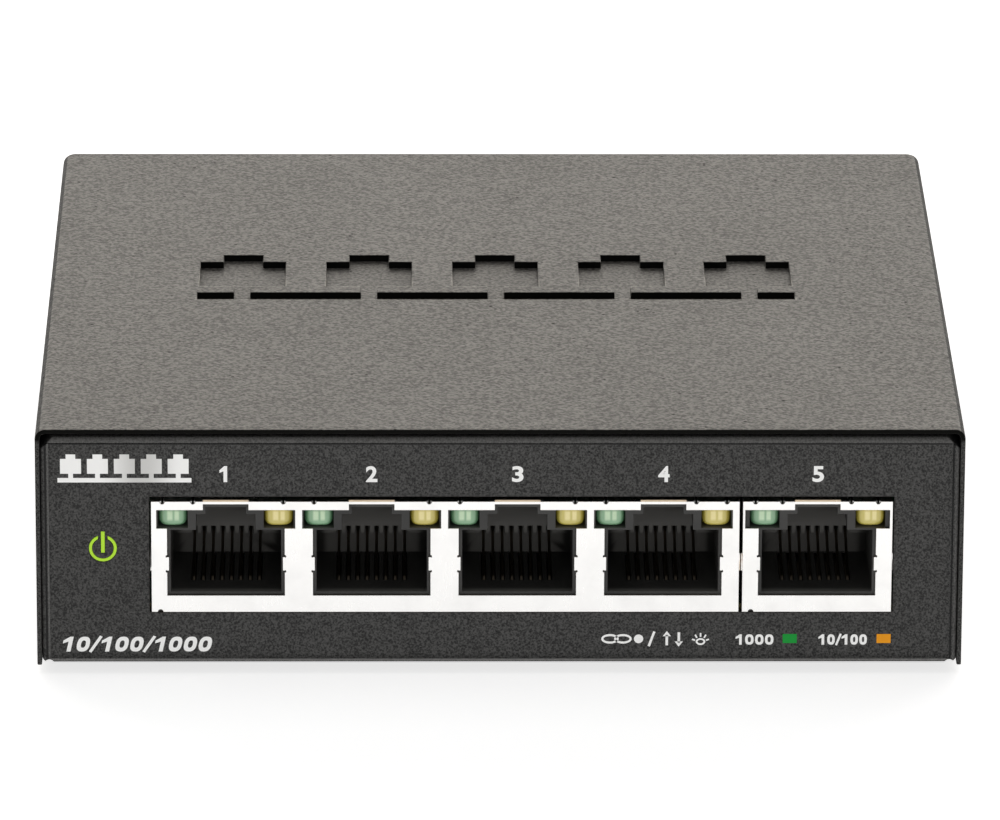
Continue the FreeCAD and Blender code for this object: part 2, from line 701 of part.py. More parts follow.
def port_cavity(number):
    """What one port takes out of its housing: cavity, latch steps, contact grooves and light pockets."""
    middle = port_middle(number)
    under_floor = ("board_top - 1", "board_top + 1.9")

    def deep(depth):
        return "jack_front - 1", f"jack_front + {depth}"

    tools = [
        box("cavity", span(middle, "cavity_half"), deep("comb_front"), ("cavity_low", "cavity_top")),
        box("under_comb", span(middle, "cavity_half"), deep("cavity_depth"), ("cavity_low", "comb_low")),
        box("step", span(middle, "step_half"), deep("9.5"), ("cavity_top - 0.01", "step_top")),
        box("keyway", span(middle, "keyway_half"), deep("7.5"), ("step_top - 0.01", "keyway_top")),
        box("tail_room", span(middle, "4.4"), ("jack_front + 13.1", JACK_BACK), under_floor),
    ]
    for place in PLACES:
        width = span(f"{middle} + ({place - 3.5}) * contact_pitch", "groove_width / 2")
        floor = ("board_top + 1.1", "cavity_low + 0.01")
        tools.append(box("groove", width, ("jack_front + 3.9", "jack_front + 13.2"), floor))
        comb = ("jack_front + comb_front - 0.01", "jack_front + cavity_depth")
        tools.append(box("comb_slot", width, comb, ("comb_low - 0.01", "comb_low + 0.85")))
    for side in SIDES:
        across = f"{middle} + ({side}) * led_across"
        end = "jack_front + led_setback + led_length"
        room = ("jack_front - 1", f"{end} + 0.1")
        height = ("mouth_top - 0.03", "led_height + led_radius + 0.05")
        tools.append(box("light_pocket", span(across, "light_half"), room, height))
        tools.append(box("lead_groove", span(across, "0.95"), (end, JACK_BACK), span("led_height", "0.4")))
    return tools


def jack_housing(name, left, right, numbers):
    """The black housing that fills the shell, with a cavity per port."""
    play = "(shell_sheet + jack_play)"
    width = (f"{left} + {play}", f"{right} - {play}")
    depth = (f"jack_front + {play}", f"{JACK_BACK} - shell_sheet - 0.8")
    blank = box("housing_blank", width, depth, ("board_top", f"{JACK_TOP} - {play}"))
    export(cut("housing_cut", blank, [tool for number in numbers for tool in port_cavity(number)]), name)


def contacts():
    """Eight spring wires per port: a tail through the board, a run under the floor and a rising end."""
    front = size("jack_front")
    run = size("board_top") + 1.45
    knee = size("cavity_low") + 0.15
    tail_end = size("board_under") - size("tail_reach")
    for number in PORTS:
        wires = []
        for place in PLACES:
            tail = front + tail_depth(place)
            path = [
                (tail, tail_end),
                (tail, run),
                (front + 4.55, run),
                (front + 4.3, (run + knee) / 2),
                (front + 4.7, knee),
                (front + 12.2, size("comb_low") + 0.65),
            ]
            wire = strip(path, size("contact_strip"), size("contact_wire"))
            wires.append(moved(wire, x=(place - 3.5) * size("contact_pitch")))
        made = stored("contact_wires", wires)
        bind(made, "Placement.Base.x", port_middle(number))
        export(made, f"contacts_port_{number + 1}")


def lights():
    """Two domed lights per port, green at the left and yellow at the right, and their bent leads."""
    start = size("jack_front") + size("led_setback") + size("led_length")
    turn = size("jack_front") + size("jack_depth") - size("shell_sheet") - 0.4
    tail_end = size("board_under") - size("tail_reach")
    path = [(start, size("led_height")), (turn, size("led_height")), (turn, tail_end)]
    lead = strip(path, size("led_lead"), size("led_lead"))
    leads = []
    for number in PORTS:
        for side, colour in ((-1, "green"), (1, "yellow")):
            across = f"{port_middle(number)} + ({side}) * led_across"
            dome_y = "jack_front + led_setback + led_radius"
            end = "jack_front + led_setback + led_length"
            barrel = cylinder("barrel", "led_radius", "y", dome_y, end, (across, "led_height"))
            dome = doc.addObject("Part::Sphere", "dome")
            bind(dome, "Radius", "led_radius")
            place_along(dome, "y", dome_y, (across, "led_height"))
            export(fuse("light", [barrel, dome]), f"led_{colour}_{number + 1}")
            for half in SIDES:
                leads.append(moved(lead, x=port_place(number) + side * size("led_across") + half * 0.6))
    export(stored("light_leads", leads), "led_leads")


def power_light():
    """A small lamp on the board, and the clear guide that brings its light to the power sign."""
    face = "-case_depth / 2 + field_depth + 0.06"
    depth = (f"{face} + base_sheet", "-case_depth / 2 + 5")
    block = box("guide_block", span("icon_across", "2"), depth, ("board_top", "icon_height + 2.6"))
    guide = fuse("guide_blank", [block, *power_sign("guide_sign", "-0.01", (face, "-case_depth / 2 + 2"))])
    lamp_y = "board_front + 0.9"
    nook_height = ("board_top - 1", "board_top + 1.3")
    nook = box("lamp_nook", span("icon_across", "1.2"), span(lamp_y, "0.8"), nook_height)
    ahead = (face, "board_front")
    step = box("board_step", span("icon_across", "3"), ahead, ("board_top - 1", "board_top + 1.5"))
    export(cut("guide_cut", guide, [nook, step]), "power_light_pipe")
    lamp = box("lamp", span("icon_across", "0.8"), span(lamp_y, "0.4"), ("board_top", "board_top + 0.7"))
    export(lamp, "power_led")


# ---------------------------------------------------------------- back panel parts
def dc_jack():
    """The barrel power socket: housing with a round collar, centre pin and the leaf for the barrel."""
    at = ("dc_across", "dc_height")
    depth = ("dc_front", "case_depth / 2 - base_sheet - 0.3")
    body = box("socket_body", span("dc_across", "dc_body"), depth, ("board_top", "board_top + 11"))
    collar = cylinder("socket_collar", "dc_collar", "y", "dc_front + 6", "case_depth / 2", at)
    slot = ("dc_front + 1.6", "dc_front + 12.4")
    bores = [
        cylinder("socket_bore", "dc_bore", "y", "dc_front + 4.2", "case_depth / 2 + 1", at),
        cylinder("pin_hole", "dc_pin + 0.22", "y", "dc_front - 1", "dc_front + 5", at),
        box("leaf_slot", span("dc_across", "1"), slot, ("board_top - 1", "dc_height")),
    ]
    export(cut("socket_cut", fuse("socket_blank", [body, collar]), bores), "dc_jack_housing")
    root = cylinder("pin_root", "dc_pin + 0.2", "y", "dc_front - 0.6", "dc_front + 4.3", at)
    shaft = cylinder("pin_shaft", "dc_pin", "y", "dc_front + 4.3", "dc_front + 13.2", at)
    tip = cone("pin_tip", ("dc_pin", "dc_pin - 0.4"), "y", "dc_front + 13.2", "dc_front + 13.8", at)
    rivet = cylinder("pin_rivet", "1.8", "y", "dc_front - 0.9", "dc_front - 0.02", at)
    export(fuse("socket_pin", [rivet, root, shaft, tip]), "dc_jack_pin")
    front = size("dc_front")
    low = size("board_top") + 0.02
    high = size("dc_height") - size("dc_bore") + 0.1
    foot = [(front + 2, low), (front + 2, high - 1.1), (front + 4.4, high - 1.1)]
    bow = [(front + 8.6, high), (front + 11.4, high - 1.2)]
    leaf = stored("socket_leaf", [strip(foot + bow, 0.3, 1.7)])
    bind(leaf, "Placement.Base.x", "dc_across")
    export(leaf, "dc_jack_spring")


def reset_switch():
    """The recessed reset switch: base, metal frame, plunger and the snap dome beneath it."""
    at = ("reset_across", "reset_height")
    height = span("reset_height", "reset_body")
    base = box("switch_base", span("reset_across", "reset_body"), ("reset_back - 3.4", "reset_back"), height)
    well = cylinder("switch_well", "2.5", "y", "reset_back - 2", "reset_back + 1", at)
    export(cut("switch_base_cut", base, [well]), "reset_switch_base")
    plate_height = (height[0], f"{height[1]} + 0.1")
    sheets = [box("plate", span("reset_across", "3.3"), ("reset_back", "reset_back + 0.3"), plate_height)]
    for side in SIDES:
        across = span(f"reset_across + ({side}) * 3.175", "0.125")
        cheek = ("board_top", plate_height[1])
        sheets.append(box("cheek", across, ("reset_back - 2", "reset_back + 0.1"), cheek))
        leg = ("board_under - tail_reach", "board_top + 0.1")
        sheets.append(box("switch_leg", across, ("reset_back - 2", "reset_back - 0.8"), leg))
    eye = cylinder("eye", "1.85", "y", "reset_back - 0.5", "reset_back + 1", at)
    export(cut("switch_frame", fuse("switch_frame_blank", sheets), [eye]), "reset_switch_frame")
    flange = cylinder("plunger_flange", "2.2", "y", "reset_back - 1.05", "reset_back - 0.2", at)
    stem = cylinder("plunger_stem", "1.6", "y", "reset_back - 0.4", "reset_back + 2.9", at)
    tip = cone("plunger_tip", ("1.6", "1.35"), "y", "reset_back + 2.9", "reset_back + 3.2", at)
    export(fuse("plunger", [flange, stem, tip]), "reset_button")
    snap_dome()


def snap_dome():
    """A shallow cap of spring sheet on the floor of the switch's well."""
    radius, rise, thickness = 2.2, 0.55, 0.1
    floor = size("reset_back") - 1.98
    sphere = (radius ** 2 + rise ** 2) / (2 * rise)
    middle = Vector(0, floor + rise - sphere, 0)
    skin = Part.makeSphere(sphere, middle).cut(Part.makeSphere(sphere - thickness, middle))
    cap = skin.common(Part.makeCylinder(radius, rise + 1, Vector(0, floor, 0), Vector(0, 1, 0)))
    dome = stored("dome_sheet", [cap.Solids[0]])
    bind(dome, "Placement.Base.x", "reset_across")
    bind(dome, "Placement.Base.z", "reset_height")
    export(dome, "reset_switch_dome")


# ---------------------------------------------------------------- parts on the board
def package(name, at, width, depth, low, high):
    """A moulded block on the board. low and high are its faces above the board."""
    height = (f"board_top + {low}", f"board_top + {high}")
    return box(name, span(at[0], width / 2), span(at[1], depth / 2), height)


def gull_leads(at, reach, height, pitch, count, wire, axis="x"):
    """Bent leads on two opposite sides of a package, count to a side."""
    foot = size("board_top") + 0.08
    top = size("board_top") + height
    profile = ((0, top), (0.35, top), (0.66, foot), (1.21, foot))
    leads = []
    for hand in SIDES:
        path = [(hand * (reach + step), z) for step, z in profile]
        one = strip(path, 0.15, wire, axis)
        for place in range(count):
            shift = (place - (count - 1) / 2) * pitch
            along = (shift, 0) if axis == "x" else (0, shift)
            leads.append(moved(one, at[0] + along[0], at[1] + along[1]))
    return leads


def switch_chip():
    """The switch chip with its leads, thermal pad and finned sink."""
    export(package("switch_package", SWITCH_AT, 14, 14, 0.1, 1.5), "switch_chip")
    leads = [lead for axis in "xy" for lead in gull_leads(SWITCH_AT, 7.0, 0.75, 0.5, 26, 0.22, axis)]
    export(stored("switch_leads", leads), "switch_chip_leads")
    export(package("sink_pad", SWITCH_AT, 13, 13, 1.5, 2.0), "thermal_pad")
    body = doc.addObject("PartDesign::Body", "sink_extrusion")
    depth = span(SWITCH_AT[1], 11)
    plate = rectangles(body, "sink_plate", "XY", "board_top + 2", [(span(SWITCH_AT[0], 11), depth)])
    pad(body, "sink_base", plate, "1.6")
    fin = (span(SWITCH_AT[0] - 10.55, 0.45), depth)
    first = pad(body, "first_fin", rectangles(body, "fin", "XY", "board_top + 3.5", [fin]), "7.1")
    repeat(body, "fins", first, "X", "21.1 / 8", 9)
    export(body, "heat_sink")


def small_chips():
    """Memory and regulator packages with their leads."""
    export(package("flash_package", FLASH_AT, 4.9, 3.9, 0.12, 1.6), "flash_chip")
    export(package("buck_package", BUCK_AT, 4.9, 3.9, 0.12, 1.6), "buck_regulator")
    leads = [lead for at in (FLASH_AT, BUCK_AT) for lead in gull_leads(at, 1.95, 0.8, 1.27, 4, 0.4)]
    export(stored("small_leads", leads), "small_chip_leads")


def crystal():
    """A low crystal can with round ends on its wider rim."""
    x, y = CRYSTAL_AT
    pieces = [
        package("can", CRYSTAL_AT, 6.2, 4.0, 0.3, 3.6),
        package("can_rim", CRYSTAL_AT, 10.8, 4.7, 0, 0.4),
    ]
    for side in SIDES:
        at = (x + side * 3.1, y)
        pieces.append(cylinder("can_end", "2", "z", "board_top + 0.3", "board_top + 3.6", at))
    export(fuse("crystal_can", pieces), "crystal")


def power_inductor():
    """A wound drum between a base and a cap."""
    pieces = [
        package("coil_base", COIL_AT, 7, 7, 0, 1.2),
        cylinder("coil_drum", "3.1", "z", "board_top + 1", "board_top + 3.4", COIL_AT),
        package("coil_cap", COIL_AT, 6.6, 6.6, 3.2, 4.2),
    ]
    export(fuse("coil", pieces), "power_inductor")


def can_capacitor(at, radius, height, label):
    """An electrolytic can with a rounded lip and a pressed groove, standing on the board."""
    body = doc.addObject("PartDesign::Body", "can_body")
    plan = new_sketch(body, "can_plan", "XY", "board_top + 0.1")
    plan.addGeometry(Part.Circle(Vector(*at, 0), Vector(0, 0, 1), radius), False)
    plan.addConstraint(Sketcher.Constraint("Radius", 0, radius))
    pad(body, "can_side", plan, height)
    top = size("board_top") + 0.1 + height
    rounded(body, "can_lip", "0.5", lambda edge: abs(edge.CenterOfMass.z - top) < 0.01)
    groove = doc.addObject("Part::Torus", "can_groove")
    groove.Radius1 = radius + 0.15
    groove.Radius2 = 0.4
    place_along(groove, "z", "board_top + 1.9", at)
    export(cut("can_cut", body, [groove]), label)


def transformers():
    """One transformer package behind each port, with twelve leads on each long side."""
    leads = []
    depth = span(MAGNETICS_Y, 3.55)
    height = ("board_top + 0.15", "board_top + 5.6")
    for number in PORTS:
        block = box("magnetics", span(port_middle(number), "7.4"), depth, height)
        export(block, f"transformer_{number + 1}")
        leads += gull_leads((port_place(number), MAGNETICS_Y), 3.55, 1.9, 1.2, 12, 0.42)
    export(stored("magnetics_leads", leads), "transformer_leads")


def passives():
    """Chip capacitors and resistors in rows behind the transformers and beside the switch chip."""
    capacitors, resistors = [], []
    for number in PORTS:
        for place in range(4):
            across = span(f"{port_middle(number)} + ({place - 1.5}) * 3.2", "0.8")
            tall, low = ("board_top", "board_top + 0.8"), ("board_top", "board_top + 0.5")
            capacitors.append(box("capacitor", across, span("-16.8", "0.4"), tall))
            resistors.append(box("resistor", across, span("-14.8", "0.4"), low))
    for place in range(6):
        y = SWITCH_AT[1] - 7 + 2.8 * place
        for hand in SIDES:
            x = SWITCH_AT[0] + hand * 13.5
            resistors.append(package("resistor", (x, y), 0.8, 1.6, 0, 0.5))
            capacitors.append(package("capacitor", (x + hand * 2, y), 0.8, 1.6, 0, 0.8))
    export(group("capacitors", capacitors), "chip_capacitors")
    export(group("resistors", resistors), "chip_resistors")


# ---------------------------------------------------------------- the whole switch
top_cover()
base_chassis()
board_fasteners()
cover_fasteners()
feet()
rating_label()
main_board()
block_fingers = ["block_left + 2.85", "block_right - 3.0"]
block_fingers += [f"port_first + {place + 0.5} * port_pitch" for place in range(3)]
single_fingers = ["single_left + 2.8", "single_right - 3.0"]
block = ("block_left", "block_right", range(4))
single = ("single_left", "single_right", (4,))
jack_shell("jack_block_shell", *block, "row_half_block", block_fingers, "1.65")
jack_housing("jack_block_housing", *block)
jack_shell("jack_single_shell", *single, "row_half_single", single_fingers, "1.45")
jack_housing("jack_single_housing", *single)
contacts()
lights()
power_light()
dc_jack()
reset_switch()
switch_chip()
small_chips()
crystal()
power_inductor()
can_capacitor((21.5, 38.5), 4.0, 11.5, "input_capacitor")
can_capacitor((34.0, 6.5), 3.15, 8.0, "output_capacitor")
transformers()
passives()

doc.recompute()
failed = [thing.Name for thing in doc.Objects if {"Invalid", "Error"} & set(thing.State)]
if failed:
    raise RuntimeError(f"not computed: {failed}")
for part in exported:
    if part.Shape.isNull() or not part.Shape.isValid() or not part.Shape.Solids:
        raise RuntimeError(f"{part.Label} has no valid solid")
if len(exported) > 60:
    raise RuntimeError("too many sub-parts")
os.makedirs("parts", exist_ok=True)
for part in exported:
    part.Shape.exportStep(os.path.join("parts", part.Label + ".step"))
    volume = round(part.Shape.Volume, 1)
    print(part.Label, len(part.Shape.Solids), "solids", volume, "mm3", part.Shape.BoundBox)
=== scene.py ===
"""A five-port desktop network switch, dressed over its CAD frame.

Everything is in metres in the frame of the CAD model: X runs across the front, Y towards the
back panel and Z up from the table.
"""

import math

import bmesh
import bpy
from mathutils import Matrix, Vector


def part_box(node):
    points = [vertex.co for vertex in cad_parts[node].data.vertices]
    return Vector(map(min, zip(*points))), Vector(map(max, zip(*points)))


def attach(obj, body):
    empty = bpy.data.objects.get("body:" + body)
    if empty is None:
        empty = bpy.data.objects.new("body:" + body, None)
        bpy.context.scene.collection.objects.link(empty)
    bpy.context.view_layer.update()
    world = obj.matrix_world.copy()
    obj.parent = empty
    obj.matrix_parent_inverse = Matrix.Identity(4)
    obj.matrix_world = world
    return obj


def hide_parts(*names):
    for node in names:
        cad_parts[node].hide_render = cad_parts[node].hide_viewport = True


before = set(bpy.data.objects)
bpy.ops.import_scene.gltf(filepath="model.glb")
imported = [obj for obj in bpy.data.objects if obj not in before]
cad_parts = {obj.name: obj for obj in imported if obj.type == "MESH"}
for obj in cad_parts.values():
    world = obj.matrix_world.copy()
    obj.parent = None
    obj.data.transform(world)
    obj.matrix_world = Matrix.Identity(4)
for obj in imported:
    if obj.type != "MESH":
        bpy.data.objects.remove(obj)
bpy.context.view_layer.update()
scene = bpy.context.scene
mm = 0.001

# ---- Camera
# A long lens a metre in front of the box, a little to its left, looking down on it. It is turned
# about its own upright axis, so that the front panel's edges stay level.
def set_down(name, data):
    """A new object in the scene, made of a mesh, a lens or a light."""
    made = bpy.data.objects.new(name, data)
    scene.collection.objects.link(made)
    return made


lens, sensor = 342.58, 36.0
look_down, look_aside = math.radians(19.296), math.atan(0.111 * sensor / lens)
lens_data = bpy.data.cameras.new("camera")
lens_data.lens, lens_data.sensor_width = lens, sensor
lens_data.clip_start, lens_data.clip_end = 0.05, 60.0
camera = set_down("camera", lens_data)
camera.matrix_world = (
    Matrix.Translation((-11.96 * mm, -1012.23 * mm, 367.5 * mm))
    @ Matrix.Rotation(math.pi / 2 - look_down, 4, "X")
    @ Matrix.Rotation(-look_aside, 4, "Y")
)
scene.camera = camera
scene.view_settings.view_transform = "Standard"


# ---- Table and light
# A pale sheet of card that runs away behind the box, a wide soft panel behind it, a dim one
# overhead and a soft fill from the front.
class Wire:
    """One socket in a node tree. Sums written with wires add the Math nodes that do them."""

    def __init__(self, tree, socket=None):
        self.tree, self.socket = tree, socket

    def node(self, kind, settings=None, sockets=None, out=0):
        """Adds a node: its settings first, then the values or links of its sockets."""
        made = self.tree.nodes.new(kind)
        for name, value in (settings or {}).items():
            setattr(made, name, value)
        for name, value in (sockets or {}).items():
            if isinstance(value, Wire):
                self.tree.links.new(value.socket, made.inputs[name])
            else:
                made.inputs[name].default_value = value
        return Wire(self.tree, made.outputs[out] if made.outputs else None)

    def maths(self, operation, *values):
        return self.node("ShaderNodeMath", {"operation": operation}, dict(enumerate(values)))

    def __add__(self, other):
        return self.maths("ADD", self, other)

    def __sub__(self, other):
        return self.maths("SUBTRACT", self, other)

    def __rsub__(self, other):
        return self.maths("SUBTRACT", other, self)

    def __mul__(self, other):
        return self.maths("MULTIPLY", self, other)

    def __truediv__(self, other):
        return self.maths("DIVIDE", self, other)

    def __pow__(self, other):
        return self.maths("POWER", self, other)

    def __abs__(self):
        return self.maths("ABSOLUTE", self)

    def __or__(self, other):
        """Where either of two masks is."""
        return self.maths("MAXIMUM", self, other)

    __radd__, __rmul__ = __add__, __mul__

    def rise(self, low, high):
        """Goes smoothly from 0 at low to 1 at high. Low may be the greater."""
        sockets = {"Value": self, "From Min": low, "From Max": high}
        return self.node("ShaderNodeMapRange", {"interpolation_type": "SMOOTHSTEP"}, sockets)

    def within(self, middle, half, soft):
        """1 inside a band about a middle, 0 outside, over a soft edge."""
        return abs(self - middle).rise(half + soft, half)


class Finish:
    """A material while its nodes are laid out."""

    def __init__(self, name):
        self.material = bpy.data.materials.new(name)
        self.material.use_nodes = True
        self.material.node_tree.nodes.clear()
        self.start = Wire(self.material.node_tree)
        self.place = self.start.node("ShaderNodeTexCoord", out="Object")

    def axes(self, vector=None):
        """The three coordinates of a vector, or of the place on the piece."""
        split = self.start.node("ShaderNodeSeparateXYZ", {}, {"Vector": vector or self.place})
        return [Wire(split.tree, socket) for socket in split.socket.node.outputs]

    def facing(self):
        """The three parts of the surface's own direction."""
        return self.axes(self.start.node("ShaderNodeNewGeometry", out="Normal"))

    def grain(self, size, detail=3.0, seed=0.0, stretch=None, harsh=0.6):
        """Random lumps about one size across, from 0 to 1."""
        at = self.place
        if stretch:
            at = self.start.node("ShaderNodeMapping", {}, {"Vector": at, "Scale": stretch})
        sockets = {"Vector": at, "W": seed, "Scale": 1 / size, "Detail": detail, "Roughness": harsh}
        return self.start.node("ShaderNodeTexNoise", {"noise_dimensions": "4D"}, sockets)

    def pits(self, size, seed=0.0):
        """Distance to the nearest of random points about one size apart, from 0."""
        sockets = {"Vector": self.place, "W": seed, "Scale": 1 / size}
        return self.start.node("ShaderNodeTexVoronoi", {"voronoi_dimensions": "4D"}, sockets)

    def blend(self, amount, first, second):
        """A colour between two colours."""
        first, second = ((*c, 1.0) if isinstance(c, tuple) else c for c in (first, second))
        return self.start.node(
            "ShaderNodeMix", {"data_type": "RGBA"}, {0: amount, 6: first, 7: second}, out=2
        )

    def edges(self, width):
        """The direction of a surface whose crisp edges are rounded off, and where they are."""
        rounded = self.start.node("ShaderNodeBevel", {"samples": 4}, {"Radius": width})
        true = self.start.node("ShaderNodeNewGeometry", out="Normal")
        dot = {"operation": "DOT_PRODUCT"}
        same = self.start.node("ShaderNodeVectorMath", dot, {0: rounded, 1: true}, out="Value")
        return rounded, (1 - same).rise(0.02, 0.25)

    def close(self, colour, roughness, relief=(), normal=None, **plain):
        """Ends at the main shader. Relief is (height, depth) pairs from broad to fine."""
        sockets = {"Base Color": (*colour, 1.0) if isinstance(colour, tuple) else colour}
        sockets["Roughness"] = roughness
        for height, depth in relief:
            bump = {"Height": height, "Distance": depth}
            if normal:
                bump["Normal"] = normal
            normal = self.start.node("ShaderNodeBump", {}, bump)
        if normal:
            sockets["Normal"] = normal
        for name, value in plain.items():
            name = name.replace("_", " ").title().replace("Ior", "IOR")
            sockets[name] = (*value, 1.0) if isinstance(value, tuple) else value
        shader = self.start.node("ShaderNodeBsdfPrincipled", {}, sockets)
        self.start.node("ShaderNodeOutputMaterial", {}, {"Surface": shader})
        return self.material


def card_finish():
    card = Finish("pale_card")
    tooth = card.grain(0.9 * mm, 2.0)
    tone = card.blend(card.grain(120 * mm, 2.0), (0.80, 0.80, 0.80), (0.84, 0.84, 0.84))
    return card.close(
        tone,
        tooth * 0.1 + 0.6,
        [(tooth, 0.01 * mm)],
        emission_color=(1.0, 1.0, 1.0),
        emission_strength=0.68,
    )


table_reach = 30.0
table_mesh = bpy.data.meshes.new("table")
# It lies a hair under the feet, so that their soles and its face do not share a plane.
below_feet = -0.02 * mm
around = ((-1, -1), (1, -1), (1, 1), (-1, 1))
corners = [(x * table_reach, y * table_reach, below_feet) for x, y in around]
table_mesh.from_pydata(corners, [], [(0, 1, 2, 3)])
table_mesh.materials.append(card_finish())
table = set_down("table", table_mesh)


def soft_panel(name, at, size, brightness, colour, shines=True):
    """A rectangle of even light that faces the box. Brightness is its radiance."""
    light = bpy.data.lights.new(name, "AREA")
    light.shape, light.size, light.size_y = "RECTANGLE", *size
    light.energy, light.color = brightness * math.pi * size[0] * size[1], colour
    lamp = set_down(name, light)
    lamp.location = at
    lamp.rotation_euler = (-Vector(at)).to_track_quat("-Z", "Y").to_euler()
    lamp.visible_camera = False
    lamp.visible_glossy = shines


soft_panel("light_behind", (0.0, 2.1, 0.95), (4.2, 1.7), 2.1, (1.0, 0.95, 0.87))
soft_panel("light_overhead", (0.0, 0.2, 2.0), (1.8, 1.8), 0.9, (1.0, 1.0, 1.0), shines=False)
soft_panel("light_front", (0.2, -2.3, 0.62), (3.0, 1.1), 1.5, (1.0, 0.99, 0.97), shines=False)

world = bpy.data.worlds.new("studio")
world.use_nodes = True
world.node_tree.nodes.clear()
air = Wire(world.node_tree)
seen = air.node("ShaderNodeLightPath", out="Is Camera Ray")
glow = {"Color": (1.0, 1.0, 1.0, 1.0), "Strength": seen * 0.8 + 0.18}
glow = air.node("ShaderNodeBackground", {}, glow)
air.node("ShaderNodeOutputWorld", {}, {"Surface": glow})
scene.world = world


# ---- Top cover
# One folded sheet of steel: top, back edge and both sides, with a sign pressed into the top and
# slots punched in the sides. It is powder coated in a fine wrinkled black.
def kept_mesh(shape, name, finish=None):
    """Worked triangles kept as a mesh, with its finish."""
    mesh = bpy.data.meshes.new(name)
    shape.to_mesh(mesh)
    shape.free()
    if finish:
        mesh.materials.append(finish)
    return mesh


def stands_for(made, slot, *nodes, body="chassis"):
    """Says what a piece moves with, and the CAD nodes that it replaces. The slot it is given is not
    used.
    """
    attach(made, body)
    if nodes:
        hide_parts(*nodes)


def whole_faces(node):
    """A CAD node's triangles joined into whole flat faces, ready to work on."""
    shape = bmesh.new()
    shape.from_mesh(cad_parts[node].data)
    bmesh.ops.remove_doubles(shape, verts=shape.verts, dist=0.0005 * mm)
    flat = math.radians(0.5)
    bmesh.ops.dissolve_limit(shape, angle_limit=flat, verts=shape.verts, edges=shape.edges)
    return shape


def even_shading(made, crease=40):
    """Keeps flat faces flat and round ones round, and leaves a plain mesh."""
    made.data.shade_smooth()
    made.data.set_sharp_from_angle(angle=math.radians(crease))
    step = made.modifiers.new("shading", "WEIGHTED_NORMAL")
    step.keep_sharp = True
    step.weight = 100
    ready = made.evaluated_get(bpy.context.evaluated_depsgraph_get())
    plain = bpy.data.meshes.new_from_object(ready)
    made.modifiers.remove(step)
    made.data = plain


def broken_edges(node, name, width, finish, steps=2, crease=30):
    """A copy of a CAD node whose crisp outer edges are broken, as a deburred sheet's are."""
    shape = whole_faces(node)
    crisp = [
        edge
        for edge in shape.edges
        if edge.is_manifold and edge.calc_face_angle_signed() > math.radians(crease)
    ]
    bmesh.ops.bevel(
        shape,
        geom=crisp,
        offset=width,
        offset_type="OFFSET",
        segments=steps,
        profile=0.5,
        affect="EDGES",
        clamp_overlap=False,
        miter_outer="ARC",
    )
    bmesh.ops.remove_doubles(shape, verts=shape.verts, dist=0.0005 * mm)
    made = set_down(name, kept_mesh(shape, name, finish))
    even_shading(made, 50)
    return made


def powder_coat(name, dark, pale, wrinkle, depth, rough, edge, thin, shine=1.45, marks=None):
    """Black powder coat: fine wrinkles with paler crests, pinholes and thin paint on the edges.
    Marks gives two masks: where a painted highlight lies and, if anywhere, where painted shade lies."""
    coat = Finish(name)
    wrinkles = coat.grain(wrinkle, 2.0)
    crests = wrinkles.rise(0.34, 0.66)
    orange_peel = coat.grain(wrinkle * 4.5, 2.0, seed=2.0)
    pinholes = coat.pits(wrinkle * 3.0, seed=1.0).rise(0.2, 0.08)
    handled = coat.grain(22 * mm, 3.0, seed=9.0)
    rounded, worn = coat.edges(edge)
    tone = coat.blend(crests * 0.85 + orange_peel * 0.15, dark, pale)
    tone = coat.blend(pinholes * 0.8, tone, tuple(0.4 * part for part in dark))
    tone = coat.blend(worn * thin, tone, tuple(1.5 * part for part in pale))
    # Painted highlight and painted shade: the marks lighten and darken the coat where light and
    # shade would fall.
    if marks:
        bright, painted_shade = marks(coat)
        if painted_shade:
            tone = coat.blend(painted_shade, tone, tuple(0.3 * part for part in dark))
        tone = coat.blend(bright * (crests * 0.3 + 0.7), tone, tuple(2.6 * part for part in pale))
    gloss = orange_peel * 0.08 + handled * 0.07 - crests * 0.1 + pinholes * 0.3 + rough
    height = wrinkles - pinholes * 0.5
    relief = [(orange_peel, depth * 0.8), (height, depth)]
    return coat.close(tone, gloss, relief, rounded, ior=shine)


def sign_edges(coat):
    """A painted highlight along the front edges of the pressed sign, where a rounded edge would
    catch the light.
    """
    wide_round = coat.start.node("ShaderNodeBevel", {"samples": 6}, {"Radius": 0.4 * mm})
    leaning = coat.axes(wide_round)[1].rise(0.04, 0.16)
    depth, height = coat.axes()[1:]
    on_top = height.rise(27.6 * mm, 27.9 * mm) * depth.rise(20 * mm, 19 * mm)
    return leaning * on_top * depth.rise(-20 * mm, -19 * mm), None


# The top's coat is a dark warm grey paler than the black paint: partly its own colour, partly a
# painted sheen for the light the top catches.
cover_coat = powder_coat(
    "cover_coat",
    dark=(0.022, 0.020, 0.018),
    pale=(0.120, 0.113, 0.102),
    wrinkle=0.42 * mm,
    depth=0.15 * mm,
    rough=0.46,
    edge=0.15 * mm,
    thin=0.3,
    marks=sign_edges,
)
# The sides are a darker copy of the coat, painted shade, because they turn away from the light.
side_coat = powder_coat(
    "side_coat",
    dark=(0.010, 0.010, 0.010),
    pale=(0.058, 0.056, 0.053),
    wrinkle=0.42 * mm,
    depth=0.10 * mm,
    rough=0.6,
    edge=0.15 * mm,
    thin=0.2,
    shine=1.3,
)


